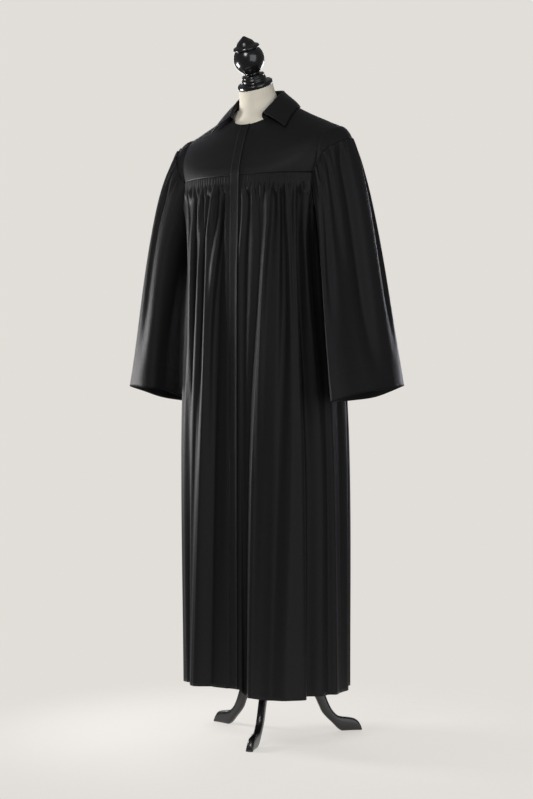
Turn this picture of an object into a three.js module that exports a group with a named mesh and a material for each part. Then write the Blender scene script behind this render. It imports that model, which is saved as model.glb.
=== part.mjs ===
// Clergy robe on a limbless dress form.
// Millimetres, +Z up. X runs to the wearer's left, and the front faces -Y.
import * as THREE from 'three';

// ---------- Driving sizes ----------
const CLOTH = 2;             // thickness of every cloth wall
const SEAM = 0.4;            // gap where two pieces are sewn edge to edge
const LAY = 0.35;            // gap under a piece that lies on another
const NECK_REST = 0.8;       // gap from the form to the yoke along the neckline
const YOKE_REST = 2.5;       // the same gap away from the neckline
const FORM_INSET = 4;        // how far the form stays inside the figure under the yoke
const NECKLINE = 3;          // station of the neckline on the figure
const YOKE_SEAM_Z = 1328;    // front yoke seam
const BACK_SEAM_Z = 1366;    // back yoke seam
const HEM_Z = 118;           // hem at the wearer's left
const HEM_LIFT = 14;         // how much higher the hem hangs at the wearer's right front
const LEFT_LIFT_FADE = [6, 11.5];   // degrees between which that lift fades out
const RIGHT_LIFT_FADE = [45, 92];
const HIGH_Z = 1153;         // heights at which the folds of the skirt are given
const MID_Z = 690;
const PLACKET_HALF = 12;     // half the width of the front placket
const UNDERARM = { x: 178, z: 1190 };
const FRONT_GATHER = 10;     // width of one gather on the front yoke seam
const BACK_GATHER = 14;
const GATHER_RISE = 3.6;     // how far a gather stands proud
const SLEEVE_GATHERS = 18;   // gathers over one sleeve head
const BAND_WIDTH = 36;       // sleeve head band at the shoulder
const POLE = { y: 45, radius: 12.5, top: 769.7, foot: 204.3 };
const LEG = { thick: 17, start: 24.4, first: 15.5, step: 120 };
const CAP_TILT = 26;         // forward lean of the neck cap, in degrees

// The figure that form and yoke share, from the neck cap (0) down to the seat (15).
// Each row is one ring: its height and depth at front, side and back, its half width,
// and the power of its outline (2 is an ellipse, more is squarer).
const FIGURE = [
  { zFront: 1531, zSide: 1550, zBack: 1569, yFront: -84, ySide: -45, yBack: -6, half: 41, power: 2 },
  { zFront: 1500, zSide: 1525, zBack: 1545, yFront: -80, ySide: -36, yBack: 6, half: 43, power: 2 },
  { zFront: 1470, zSide: 1508, zBack: 1525, yFront: -80, ySide: -28, yBack: 18, half: 50, power: 2 },
  { zFront: 1452, zSide: 1500, zBack: 1512, yFront: -86, ySide: -18, yBack: 32, half: 72, power: 2 },
  { zFront: 1425, zSide: 1475, zBack: 1468, yFront: -100, ySide: -8, yBack: 52, half: 122, power: 2 },
  { zFront: 1390, zSide: 1453, zBack: 1430, yFront: -114, ySide: -2, yBack: 72, half: 170, power: 2.2 },
  { zFront: 1358, zSide: 1434, zBack: 1400, yFront: -124, ySide: 0, yBack: 86, half: 203, power: 2.4 },
  { zFront: 1328, zSide: 1395, zBack: 1370, yFront: -130, ySide: 0, yBack: 94, half: 208, power: 2.6 },
  { zFront: 1280, zSide: 1330, zBack: 1320, yFront: -126, ySide: 0, yBack: 96, half: 190, power: 2.7 },
  { zFront: 1250, zSide: 1250, zBack: 1250, yFront: -118, ySide: 0, yBack: 92, half: 160, power: 2.5 },
  { zFront: 1170, zSide: 1170, zBack: 1170, yFront: -108, ySide: 0, yBack: 86, half: 142, power: 2.4 },
  { zFront: 1060, zSide: 1060, zBack: 1060, yFront: -92, ySide: 0, yBack: 70, half: 118, power: 2.3 },
  { zFront: 960, zSide: 960, zBack: 960, yFront: -98, ySide: 0, yBack: 86, half: 138, power: 2.3 },
  { zFront: 860, zSide: 860, zBack: 860, yFront: -104, ySide: 0, yBack: 100, half: 150, power: 2.3 },
  { zFront: 790, zSide: 790, zBack: 790, yFront: -100, ySide: 0, yBack: 98, half: 148, power: 2.3 },
  { zFront: 770, zSide: 770, zBack: 770, yFront: -92, ySide: 0, yBack: 90, half: 140, power: 2.3 },
];

// Armhole edges of the yoke, as station and degrees: the front from its seam up to the
// shoulder, and the back from the shoulder down to its seam.
const FRONT_ARMHOLE = [[6.8, 57.5], [6.15, 60], [5.78, 66.5], [5.62, 77], [5.7, 90]];
const BACK_ARMHOLE = [[5.7, 90], [5.62, 102], [5.8, 112], [6.2, 118.5], [6.75, 122], [7.3, 124]];

// Fold lines of the skirt. top is where the line meets the yoke seam (mm from the centre),
// or arm how far it starts down the armhole (0 at the seam's end, 1 under the arm).
// high, mid and hem give [degrees round from the centre, distance from the axis].
const SIDE_LINE = { arm: 1, high: [90, 181], mid: [93, 194], hem: [96, 197] };
const LEFT_FOLDS = [
  { top: 0, width: 0, high: 138, mid: 140, hem: 138 },
  { top: PLACKET_HALF, width: 12, high: 138.5, mid: 140.5, hem: 138.5 },
  { top: 20, width: 20, high: 139, mid: 141, hem: 138 },
  { top: 57.5, high: [25, 151], mid: [15.5, 140], hem: [11.5, 130] },
  { top: 69.5, high: [29.2, 156], mid: [21.4, 163], hem: [18.5, 166] },
  { top: 124, high: [47.4, 166], mid: [41.3, 180], hem: [35, 190] },
  { top: 137, high: [51.2, 176], mid: [50.1, 201], hem: [46, 202] },
  { top: 148, high: [54.5, 180], mid: [55.6, 204], hem: [58, 207] },
  { top: 157.7, high: [57.7, 176], mid: [65, 171], hem: [66, 168] },
  { arm: 0, high: [62, 187], mid: [76.5, 190], hem: [78, 188] },
  { arm: 0.33, high: [72, 184], mid: [81, 186], hem: [83, 186] },
  { arm: 0.66, high: [81, 184], mid: [86, 197], hem: [88.5, 200] },
  SIDE_LINE,
];
const RIGHT_FOLDS = [
  { top: 0, width: 0, high: 138, mid: 140, hem: 138 },
  { top: PLACKET_HALF, width: 12, high: 138.5, mid: 140.5, hem: 138.5 },
  { top: 20, width: 20, high: 139, mid: 143, hem: 143 },
  { top: 33, high: [13.8, 137], mid: [20.5, 146], hem: [24, 151] },
  { top: 62, high: [24, 158], mid: [27, 179], hem: [34, 188] },
  { top: 92, high: [33.5, 153], mid: [33, 180], hem: [38, 189] },
  { top: 104, high: [37.5, 168], mid: [36.5, 186], hem: [41, 187] },
  { top: 118, high: [41.5, 165], mid: [42, 184], hem: [48, 165] },
  { top: 133, high: [45.5, 180], mid: [48, 197], hem: [54, 189] },
  { top: 146, high: [50, 176], mid: [55, 192], hem: [60, 195] },
  { top: 159, high: [55, 186], mid: [63, 203], hem: [68, 201] },
  { arm: 0, high: [61, 184], mid: [72, 196], hem: [77, 190] },
  { arm: 0.5, high: [76, 184], mid: [82, 202], hem: [87, 204] },
  SIDE_LINE,
];
const BACK_FOLDS = [
  SIDE_LINE,
  { arm: 0.5, high: [102, 184], mid: [104, 202], hem: [107, 203] },
  { arm: 0, high: [114, 176], mid: [115, 188], hem: [117, 178] },
  { top: 158, high: [121, 178], mid: [125, 202], hem: [127, 204] },
  { top: 128, high: [133, 164], mid: [135, 180], hem: [136, 166] },
  { top: 104, high: [142, 166], mid: [145, 200], hem: [147, 203] },
  { top: 72, high: [153, 152], mid: [155, 176], hem: [156, 162] },
  { top: 48, high: [161, 156], mid: [164, 190], hem: [167, 198] },
  { top: 14, high: [175, 148], mid: [175, 166], hem: [177, 154] },
  { top: -18, high: [187, 150], mid: [187, 188], hem: [186, 198] },
  { top: -50, high: [199, 150], mid: [198, 172], hem: [197, 160] },
  { top: -84, high: [211, 160], mid: [209, 198], hem: [208, 203] },
  { top: -112, high: [221, 160], mid: [220, 178], hem: [219, 166] },
  { top: -140, high: [232, 174], mid: [232, 202], hem: [231, 204] },
  { top: -160, high: [240, 174], mid: [242, 190], hem: [242, 180] },
  { arm: 0, flip: true, high: [247, 178], mid: [252, 202], hem: [252, 204] },
  { arm: 0.5, flip: true, high: [258, 182], mid: [260, 194], hem: [259, 192] },
  { arm: 1, flip: true, high: [270, 181], mid: [267, 194], hem: [264, 197] },
];

// Lines down a sleeve. u goes round the armhole: 0 where the front yoke seam ends, 0.25 on
// the shoulder, 0.5 where the back seam ends and 0.75 under the arm. leave and arrive are
// the line's directions at its two ends, and cuff is its end.
const LEFT_SLEEVE = [
  { u: 0, leave: [110, -60, -330], cuff: [262, -130, 801], arrive: [90, -20, -550] },
  { u: 0.125, leave: [190, -20, -200], cuff: [303, -55, 823], arrive: [190, -20, -620] },
  { u: 0.25, leave: [222, 20, -30], cuff: [329, 30, 832], arrive: [165, 0, -680] },
  { u: 0.375, leave: [185, 70, -160], cuff: [322, 92, 838], arrive: [95, 20, -640] },
  { u: 0.5, leave: [130, 70, -330], cuff: [300, 124, 835], arrive: [110, 20, -560] },
  { u: 0.62, leave: [90, 30, -300], cuff: [252, 88, 812], arrive: [60, 10, -480] },
  { u: 0.75, leave: [90, 0, -170], cuff: [229, 0, 803], arrive: [10, 0, -360] },
  { u: 0.88, leave: [90, -30, -300], cuff: [238, -90, 800], arrive: [40, -20, -500] },
];
const RIGHT_SLEEVE = [
  { u: 0, leave: [180, -80, -300], cuff: [258, -128, 833], arrive: [60, -10, -550] },
  { u: 0.125, leave: [290, -80, -110], cuff: [322, -112, 839], arrive: [130, 0, -600] },
  { u: 0.25, leave: [300, -10, -10], cuff: [336, -40, 828], arrive: [200, -10, -650] },
  { u: 0.375, leave: [190, 60, -160], cuff: [330, 36, 812], arrive: [200, 10, -640] },
  { u: 0.5, leave: [130, 60, -330], cuff: [294, 88, 803], arrive: [150, 10, -560] },
  { u: 0.62, leave: [90, 30, -300], cuff: [250, 76, 803], arrive: [60, 0, -480] },
  { u: 0.75, leave: [90, 0, -170], cuff: [229, 0, 808], arrive: [10, 0, -360] },
  { u: 0.88, leave: [90, -30, -300], cuff: [237, -88, 830], arrive: [40, -20, -500] },
];
// Long hollows down a sleeve: where round it, how wide, how deep, and from where to where.
const LEFT_HOLLOWS = [
  { u: 0.045, wide: 0.022, deep: 9, from: 0.1, to: 0.75 },
  { u: 0.11, wide: 0.024, deep: 9, from: 0.1, to: 0.6 },
  { u: 0.185, wide: 0.026, deep: 15, from: 0.12, to: 0.95 },
  { u: 0.33, wide: 0.028, deep: 9, from: 0.1, to: 0.9 },
  { u: 0.43, wide: 0.026, deep: 8, from: 0.1, to: 0.8 },
];
const RIGHT_HOLLOWS = [
  { u: 0.06, wide: 0.026, deep: 10, from: 0.1, to: 0.9 },
  { u: 0.155, wide: 0.024, deep: 8, from: 0.1, to: 0.65 },
  { u: 0.25, wide: 0.028, deep: 11, from: 0.12, to: 0.95 },
  { u: 0.36, wide: 0.026, deep: 9, from: 0.1, to: 0.85 },
  { u: 0.44, wide: 0.024, deep: 7, from: 0.1, to: 0.7 },
];

// The turned-down collar from its front end (first row) to the centre back. base is where
// it is sewn to the neckline, in degrees; roll is its top; edge is the free edge, as
// station and degrees on the figure, and lift how high the edge stands over the figure.
const COLLAR = [
  { at: 0, base: 34, roll: [46, -83, 1476], edge: [4.35, 45], lift: 10 },
  { at: 0.25, base: 60, roll: [54, -58, 1500], edge: [3.8, 62], lift: 8 },
  { at: 0.5, base: 90, roll: [56, -24, 1526], edge: [3.46, 91], lift: 7 },
  { at: 0.75, base: 135, roll: [41, 14, 1541], edge: [3.52, 137], lift: 7 },
  { at: 1, base: 180, roll: [0, 29, 1546], edge: [3.62, 180], lift: 7 },
];
const ROLL_RADIUS = 3.4;     // half the thickness of the collar's rolled top

// Turned profiles, as [radius, height].
const CAP_PROFILE = [
  [0, 0], [42, 0], [43, 3], [43, 8], [40.5, 10.5], [31, 12], [29.5, 15], [30.5, 18], [27, 24],
  [28.5, 26], [26, 29], [18.5, 31], [17.5, 34], [20, 36],
];
const BALL = { height: 66, radius: 37, from: 35, to: 132, steps: 8 };
const TIP_PROFILE = [[31, 91], [32.5, 94], [30.5, 97.5], [23, 101], [18, 109], [10, 115], [3, 120.5], [0, 122]];
const HUB_PROFILE = [[0, 100], [10, 100], [20, 106], [24, 115], [24, 196], [18, 200], [16, 204], [0, 204]];
const LEG_TOP = [
  [217, 0], [213, 11], [203, 23], [182, 29], [160, 33], [144, 46], [133, 65], [124, 88],
  [113, 113], [94, 143], [70, 170],
];
const LEG_UNDER = [[55, 112], [80, 100], [97, 84], [108, 62], [118, 42], [141, 18], [167, -4], [215, -4]];
const LEG_ROOT = { top: 190, under: 120 };

// ---------- Materials ----------
const blackCloth = new THREE.MeshStandardMaterial({ color: 0x141317, roughness: 0.72, metalness: 0 });
const creamCloth = new THREE.MeshStandardMaterial({ color: 0xd9cfb8, roughness: 0.85, metalness: 0 });
const blackWood = new THREE.MeshStandardMaterial({ color: 0x0e0d0d, roughness: 0.28, metalness: 0 });

// ---------- Small tools ----------
const radians = (degrees) => (degrees * Math.PI) / 180;
const lerp = (a, b, t) => a + (b - a) * t;
const clamp = (x, low, high) => Math.min(high, Math.max(low, x));
const ease = (t) => {
  const k = clamp(t, 0, 1);
  return k * k * (3 - 2 * k);
};
const waveBetween = (a, b, t) => lerp(a, b, (1 - Math.cos(Math.PI * t)) / 2);

/** Smooth curve through the points (xs, ys), with the mean slope of its neighbours at each. */
function smoothAt(xs, ys, x) {
  let k = 0;
  while (k < xs.length - 2 && x > xs[k + 1]) k += 1;
  const slope = (i) => {
    const a = Math.max(i - 1, 0);
    const b = Math.min(i + 1, xs.length - 1);
    return (ys[b] - ys[a]) / (xs[b] - xs[a]);
  };
  const width = xs[k + 1] - xs[k];
  const t = (x - xs[k]) / width;
  const start = (2 * t * t * t - 3 * t * t + 1) * ys[k] + (t * t * t - 2 * t * t + t) * width * slope(k);
  return start + (3 * t * t - 2 * t * t * t) * ys[k + 1] + (t * t * t - t * t) * width * slope(k + 1);
}

/** The same curve for a list of [x, y, z] values. */
const smoothPoint = (xs, points, x) =>
  new THREE.Vector3(...[0, 1, 2].map((axis) => smoothAt(xs, points.map((p) => p[axis]), x)));

/** A point on a polyline, k steps and a part of a step along it. */
function alongPolyline(points, k) {
  const i = clamp(Math.floor(k), 0, points.length - 2);
  return points[i].clone().lerp(points[i + 1], k - i);
}

const mirrored = (grid) =>
  grid.map((row) => row.map((p) => new THREE.Vector3(-p.x, p.y, p.z)).reverse());

/** Outward direction at every point of a grid whose rows run down and columns to the left. */
function gridNormals(grid, closed) {
  const columns = grid[0].length;
  return grid.map((row, i) => row.map((p, j) => {
    const above = grid[Math.max(i - 1, 0)][j];
    const below = grid[Math.min(i + 1, grid.length - 1)][j];
    const before = closed ? row[(j + columns - 1) % columns] : row[Math.max(j - 1, 0)];
    const after = closed ? row[(j + 1) % columns] : row[Math.min(j + 1, columns - 1)];
    return below.clone().sub(above).cross(after.clone().sub(before)).normalize();
  }));
}

const moved = (grid, normals, distance) =>
  grid.map((row, i) => row.map((p, j) => {
    const d = typeof distance === 'function' ? distance(i, j) : distance;
    return p.clone().addScaledVector(normals[i][j], d);
  }));

/** Closed wall between two grids. closed joins the last column to the first, as on a tube. */
function wallGeometry(outer, inner, closed = false) {
  const rows = outer.length;
  const columns = outer[0].length;
  const points = [...outer.flat(), ...inner.flat()];
  const out = (i, j) => i * columns + (j % columns);
  const inn = (i, j) => rows * columns + out(i, j);
  const faces = [];
  const quad = (a, b, c, d) => faces.push(a, b, c, a, c, d);
  const last = closed ? columns : columns - 1;
  for (let i = 0; i < rows - 1; i += 1) {
    for (let j = 0; j < last; j += 1) {
      quad(out(i, j), out(i + 1, j), out(i + 1, j + 1), out(i, j + 1));
      quad(inn(i, j), inn(i, j + 1), inn(i + 1, j + 1), inn(i + 1, j));
    }
  }
  for (let j = 0; j < last; j += 1) {
    quad(out(0, j), out(0, j + 1), inn(0, j + 1), inn(0, j));
    quad(out(rows - 1, j), inn(rows - 1, j), inn(rows - 1, j + 1), out(rows - 1, j + 1));
  }
  if (!closed) {
    for (let i = 0; i < rows - 1; i += 1) {
      quad(out(i, 0), inn(i, 0), inn(i + 1, 0), out(i + 1, 0));
      quad(out(i, last), out(i + 1, last), inn(i + 1, last), inn(i, last));
    }
  }
  return indexed(points, faces);
}

/** Closed skin over rings that run down, with a flat fan at the top and at the bottom. */
function skinGeometry(rings) {
  const columns = rings[0].length;
  const points = rings.flat();
  const middle = (ring) => ring.reduce((sum, p) => sum.add(p), new THREE.Vector3()).divideScalar(columns);
  points.push(middle(rings[0]), middle(rings[rings.length - 1]));
  const top = points.length - 2;
  const at = (i, j) => i * columns + (j % columns);
  const faces = [];
  for (let j = 0; j < columns; j += 1) {
    for (let i = 0; i < rings.length - 1; i += 1) {
      faces.push(at(i, j), at(i + 1, j), at(i + 1, j + 1), at(i, j), at(i + 1, j + 1), at(i, j + 1));
    }
    faces.push(top, at(0, j), at(0, j + 1));
    faces.push(top + 1, at(rings.length - 1, j + 1), at(rings.length - 1, j));
  }
  return indexed(points, faces);
}

function indexed(points, faces) {
  const geometry = new THREE.BufferGeometry();
  geometry.setAttribute('position', new THREE.Float32BufferAttribute(points.flatMap((p) => p.toArray()), 3));
  geometry.setIndex(faces);
  geometry.computeVertexNormals();
  return geometry;
}

// ---------- Figure ----------
const STATIONS = FIGURE.map((row, i) => i);
const column = Object.fromEntries(Object.keys(FIGURE[0]).map((name) => [name, FIGURE.map((r) => r[name])]));

/** Point of the figure at a station, some degrees round from the front to the wearer's left. */
function figure(station, degrees) {
  const value = (name) => smoothAt(STATIONS, column[name], station);
  const rounding = 2 / value('power');
  const sine = Math.sin(radians(degrees));
  const cosine = Math.cos(radians(degrees));
  const forward = Math.sign(cosine) * Math.abs(cosine) ** rounding;
  const blend = (name) => {
    const [front, side, back] = [`${name}Front`, `${name}Side`, `${name}Back`].map(value);
    return side + (forward * (front - back)) / 2 + forward * forward * ((front + back) / 2 - side);
  };
  const x = value('half') * Math.sign(sine) * Math.abs(sine) ** rounding;
  return new THREE.Vector3(x, blend('y'), blend('z'));
}

/** Outward direction of the figure: down the figure crossed with round it. */
function figureNormal(station, degrees) {
  const down = figure(station + 0.05, degrees).sub(figure(station - 0.05, degrees));
  const round = figure(station, degrees + 1).sub(figure(station, degrees - 1));
  return down.cross(round).normalize();
}

function overFigure(station, degrees, height) {
  return figure(station, degrees).addScaledVector(figureNormal(station, degrees), height);
}

// ---------- Yoke ----------
const restAt = (station) => lerp(NECK_REST, YOKE_REST, ease(station - NECKLINE));
const yokeOuter = (station, degrees) => overFigure(station, degrees, restAt(station) + CLOTH);
const yokeInner = (station, degrees) => overFigure(station, degrees, restAt(station));

/** Station at which the yoke's outer face reaches a height, on one meridian. */
function stationAtHeight(degrees, z) {
  let low = 5;
  let high = 9;
  for (let step = 0; step < 30; step += 1) {
    const middle = (low + high) / 2;
    if (yokeOuter(middle, degrees).z > z) low = middle;
    else high = middle;
  }
  return (low + high) / 2;
}

/** Degrees at which the figure is x wide of its centre at a station. */
function degreesAtWidth(station, x) {
  const half = smoothAt(STATIONS, column.half, station);
  const power = smoothAt(STATIONS, column.power, station);
  return (Math.asin((x / half) ** (power / 2)) * 180) / Math.PI;
}

const YOKE_ROWS = [0, 0.12, 0.26, 0.42, 0.6, 0.8, 1];

/** Yoke wall from columns that each give a station and degrees for a part of their length. */
function yokeWall(columns, seamZ) {
  const grid = (surface) => YOKE_ROWS.map((part) => columns.map((c) => surface(...c.at(part))));
  const outer = grid(yokeOuter);
  const inner = grid(yokeInner);
  const end = YOKE_ROWS.length - 1;
  columns.forEach((c, j) => {
    if (!c.onSeam) return;
    outer[end][j].z = seamZ;
    inner[end][j].z = seamZ;
  });
  return { outer, inner };
}

/** A column of the yoke that runs straight on the figure's net from neckline to outer edge. */
const netColumn = (neckDegrees, [station, degrees], onSeam) => ({
  onSeam,
  at: (part) => [lerp(NECKLINE, station, part), lerp(neckDegrees, degrees, part)],
});

/** A column of the yoke that stays x wide of the centre front. */
function plumbColumn(x) {
  const end = stationAtHeight(0, YOKE_SEAM_Z);
  return {
    onSeam: true,
    at: (part) => {
      const station = lerp(NECKLINE, end, part);
      return [station, degreesAtWidth(station, x)];
    },
  };
}

const FRONT_SEAM_COLUMNS = 8;
const FRONT_NECK = [12, 90];     // degrees on the neckline from the placket to the shoulder
const FRONT_SEAM = [4, 56];      // degrees on the seam from the placket to the armhole

function frontYoke() {
  const seam = Array.from({ length: FRONT_SEAM_COLUMNS }, (none, k) => {
    const degrees = lerp(...FRONT_SEAM, k / FRONT_SEAM_COLUMNS);
    return [stationAtHeight(degrees, YOKE_SEAM_Z), degrees];
  });
  const corner = [stationAtHeight(FRONT_SEAM[1], YOKE_SEAM_Z), FRONT_SEAM[1]];
  const edge = [...seam, corner, ...FRONT_ARMHOLE];
  const last = edge.length - 1;
  const net = edge.map((end, k) => netColumn(lerp(...FRONT_NECK, k / last), end, k <= FRONT_SEAM_COLUMNS));
  return yokeWall([plumbColumn(SEAM / 2), plumbColumn(PLACKET_HALF), ...net], YOKE_SEAM_Z);
}

const BACK_SEAM_COLUMNS = 7;

function backYoke() {
  const corner = BACK_ARMHOLE[BACK_ARMHOLE.length - 1][1];
  const armhole = BACK_ARMHOLE.slice(0, -1);
  const seam = Array.from({ length: BACK_SEAM_COLUMNS + 1 }, (none, k) => {
    const degrees = lerp(corner, 180, k / BACK_SEAM_COLUMNS);
    return [stationAtHeight(degrees, BACK_SEAM_Z), degrees];
  });
  const edge = [...armhole, ...seam];
  const last = edge.length - 1;
  const left = edge.map((end, k) => netColumn(lerp(90, 180, k / last), end, k >= armhole.length));
  const { outer, inner } = yokeWall(left, BACK_SEAM_Z);
  const whole = (grid) => grid.map((row, i) => [...row, ...mirrored(grid)[i].slice(1)]);
  return { outer: whole(outer), inner: whole(inner) };
}

/** Both walls of a yoke piece with its shoulder seam column drawn back by half the seam. */
function openShoulder(piece, atStart, direction) {
  const shift = (row) => {
    const j = atStart ? 0 : row.length - 1;
    row[j].y += (direction * SEAM) / 2;
  };
  piece.outer.forEach(shift);
  piece.inner.forEach(shift);
  return piece;
}

// ---------- Skirt ----------
const SKIRT_ROWS = [0, 0.022, 0.055, 0.1, 0.17, 0.27, 0.4, 0.55, 0.7, 0.85, 1];
const GATHER_END = 0.19;     // part of the skirt's length at which the gathers have died out

/** Height of the hem on a front panel, which is lifted from the centre to where that fades. */
const hemHeight = (degrees, fade) =>
  (fade ? HEM_Z + HEM_LIFT * (1 - ease((degrees - fade[0]) / (fade[1] - fade[0]))) : HEM_Z);

/** Point of the armhole's lower part: a quarter oval from the seam's end to the underarm. */
function lowerArmhole(corner, arm) {
  const turn = (arm * Math.PI) / 2;
  return new THREE.Vector3(
    lerp(corner.x, UNDERARM.x, arm),
    corner.y * Math.cos(turn),
    lerp(corner.z - SEAM, UNDERARM.z, Math.sin(turn)),
  );
}

/** Point of a yoke seam at x, on the polyline of the yoke's lower edge. */
function onSeam(edge, x, seamZ) {
  const sorted = [...edge].sort((a, b) => a.x - b.x);
  let k = 0;
  while (k < sorted.length - 2 && x > sorted[k + 1].x) k += 1;
  const p = sorted[k].clone().lerp(sorted[k + 1], (x - sorted[k].x) / (sorted[k + 1].x - sorted[k].x));
  return p.setZ(seamZ - SEAM);
}

/** One fold line with its degrees and radii as plain lists, and its top as a point. */
function foldLine(line, seam) {
  const polar = (entry) => {
    if (Array.isArray(entry)) return entry;
    return [(Math.asin(line.width / entry) * 180) / Math.PI, entry];
  };
  const stations = [polar(line.high), polar(line.mid), polar(line.hem)];
  return {
    ...line,
    degrees: stations.map((s) => s[0]),
    radii: stations.map((s) => s[1]),
    start: line.arm === undefined ? onSeam(seam.edge, line.top, seam.z) : seam.arm(line),
  };
}

/** Columns of a skirt panel: the fold lines, and what lies between them in soft waves. */
function skirtColumns(folds, seam) {
  const lines = folds.map((line) => foldLine(line, seam));
  const columns = [];
  lines.slice(0, -1).forEach((line, k) => {
    const next = lines[k + 1];
    const onArmhole = line.arm !== undefined && next.arm !== undefined;
    const width = line.start.distanceTo(next.start);
    const gathered = !onArmhole && next.width === undefined;
    const count = gathered ? 2 * Math.max(1, Math.round(width / seam.gather)) : onArmhole ? 2 : 1;
    for (let i = 0; i < count; i += 1) {
      const t = i / count;
      columns.push({
        proud: gathered && i % 2 === 1,
        start: onArmhole ? seam.arm({ ...line, arm: lerp(line.arm, next.arm, t) })
          : gathered || i > 0 ? onSeam(seam.edge, lerp(line.start.x, next.start.x, t), seam.z) : line.start,
        degrees: line.degrees.map((d, n) => lerp(d, next.degrees[n], t)),
        radii: line.radii.map((r, n) => waveBetween(r, next.radii[n], t)),
      });
    }
  });
  const end = lines[lines.length - 1];
  columns.push({ proud: false, start: end.start, degrees: end.degrees, radii: end.radii });
  return columns;
}

/** Point of a skirt column, a part of its length down: degrees and radius eased by height. */
function skirtPoint(columnData, part, liftFade) {
  const { start, degrees, radii } = columnData;
  const bottom = hemHeight(degrees[2], liftFade);
  const z = lerp(start.z, bottom, part);
  let startDegrees = (Math.atan2(start.x, -start.y) * 180) / Math.PI;
  if (startDegrees < -1) startDegrees += 360;
  const heights = [bottom, MID_Z, HIGH_Z, start.z];
  const turn = radians(smoothAt(heights, [...degrees].reverse().concat(startDegrees), z));
  const radius = smoothAt(heights, [...radii].reverse().concat(Math.hypot(start.x, start.y)), z);
  return new THREE.Vector3(radius * Math.sin(turn), -radius * Math.cos(turn), z);
}

/** Moves a panel's first or last column sideways by half the seam. */
function openSideSeam(grid, j, towards) {
  grid.forEach((row) => {
    const along = new THREE.Vector3(-row[j].y, row[j].x, 0).normalize();
    row[j].addScaledVector(along, (towards * SEAM) / 2);
  });
}

/** Skirt panel: gathers stand proud on the outside only. liftFade is for hemHeight. */
function skirtPanel(folds, seam, liftFade) {
  const columns = skirtColumns(folds, seam);
  const base = SKIRT_ROWS.map((part) => columns.map((c) => skirtPoint(c, part, liftFade)));
  if (seam.endSeam) openSideSeam(base, columns.length - 1, -1);
  if (seam.startSeam) openSideSeam(base, 0, 1);
  if (seam.centre) base.forEach((row) => row[0].setX(SEAM / 2));
  const normals = gridNormals(base, false);
  normals[0].forEach((n) => n.setZ(0).normalize());
  if (seam.centre) normals.forEach((row) => row[0].setX(0).normalize());
  const rise = (i, j) => {
    const fade = 1 - ease((SKIRT_ROWS[i] - 0.03) / (GATHER_END - 0.03));
    return columns[j].proud ? GATHER_RISE * fade * (i === 0 ? 0.5 : 1) : 0;
  };
  return { base, outer: moved(base, normals, rise), inner: moved(base, normals, -CLOTH) };
}

// ---------- Sleeves ----------
const SLEEVE_ROWS = [0, 0.03, 0.08, 0.15, 0.25, 0.38, 0.52, 0.68, 0.84, 1];
const UNDER_COLUMNS = 10;    // columns of a sleeve below the two yoke seams
const GATHER_LENGTH = 0.42;  // part of the sleeve's length at which its gathers have died out

/** Smooth closed curve through a sleeve's rows, at u round the armhole. */
function aroundSleeve(rows, name, u) {
  const turns = [-1, 0, 1].flatMap((turn) => rows.map((row) => ({ u: row.u + turn, p: row[name] })));
  return smoothPoint(turns.map((t) => t.u), turns.map((t) => t.p), u);
}

/** Armhole as a closed polyline of four stretches, each a quarter of u. */
function armholeAt(stretches, u) {
  const turn = ((u % 1) + 1) % 1;
  const k = Math.min(3, Math.floor(turn * 4));
  const points = stretches[k];
  return alongPolyline(points, (turn * 4 - k) * (points.length - 1));
}

/** Tells how far the long hollows draw a sleeve in at u and a part of its length. */
function hollowDepth(hollows, u, part) {
  return hollows.reduce((sum, h) => {
    const across = Math.exp(-(((u - h.u) / h.wide) ** 2));
    const along = ease((part - h.from) / 0.15) * (1 - ease((part - h.to + 0.25) / 0.3));
    return sum + h.deep * across * along;
  }, 0);
}

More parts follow.
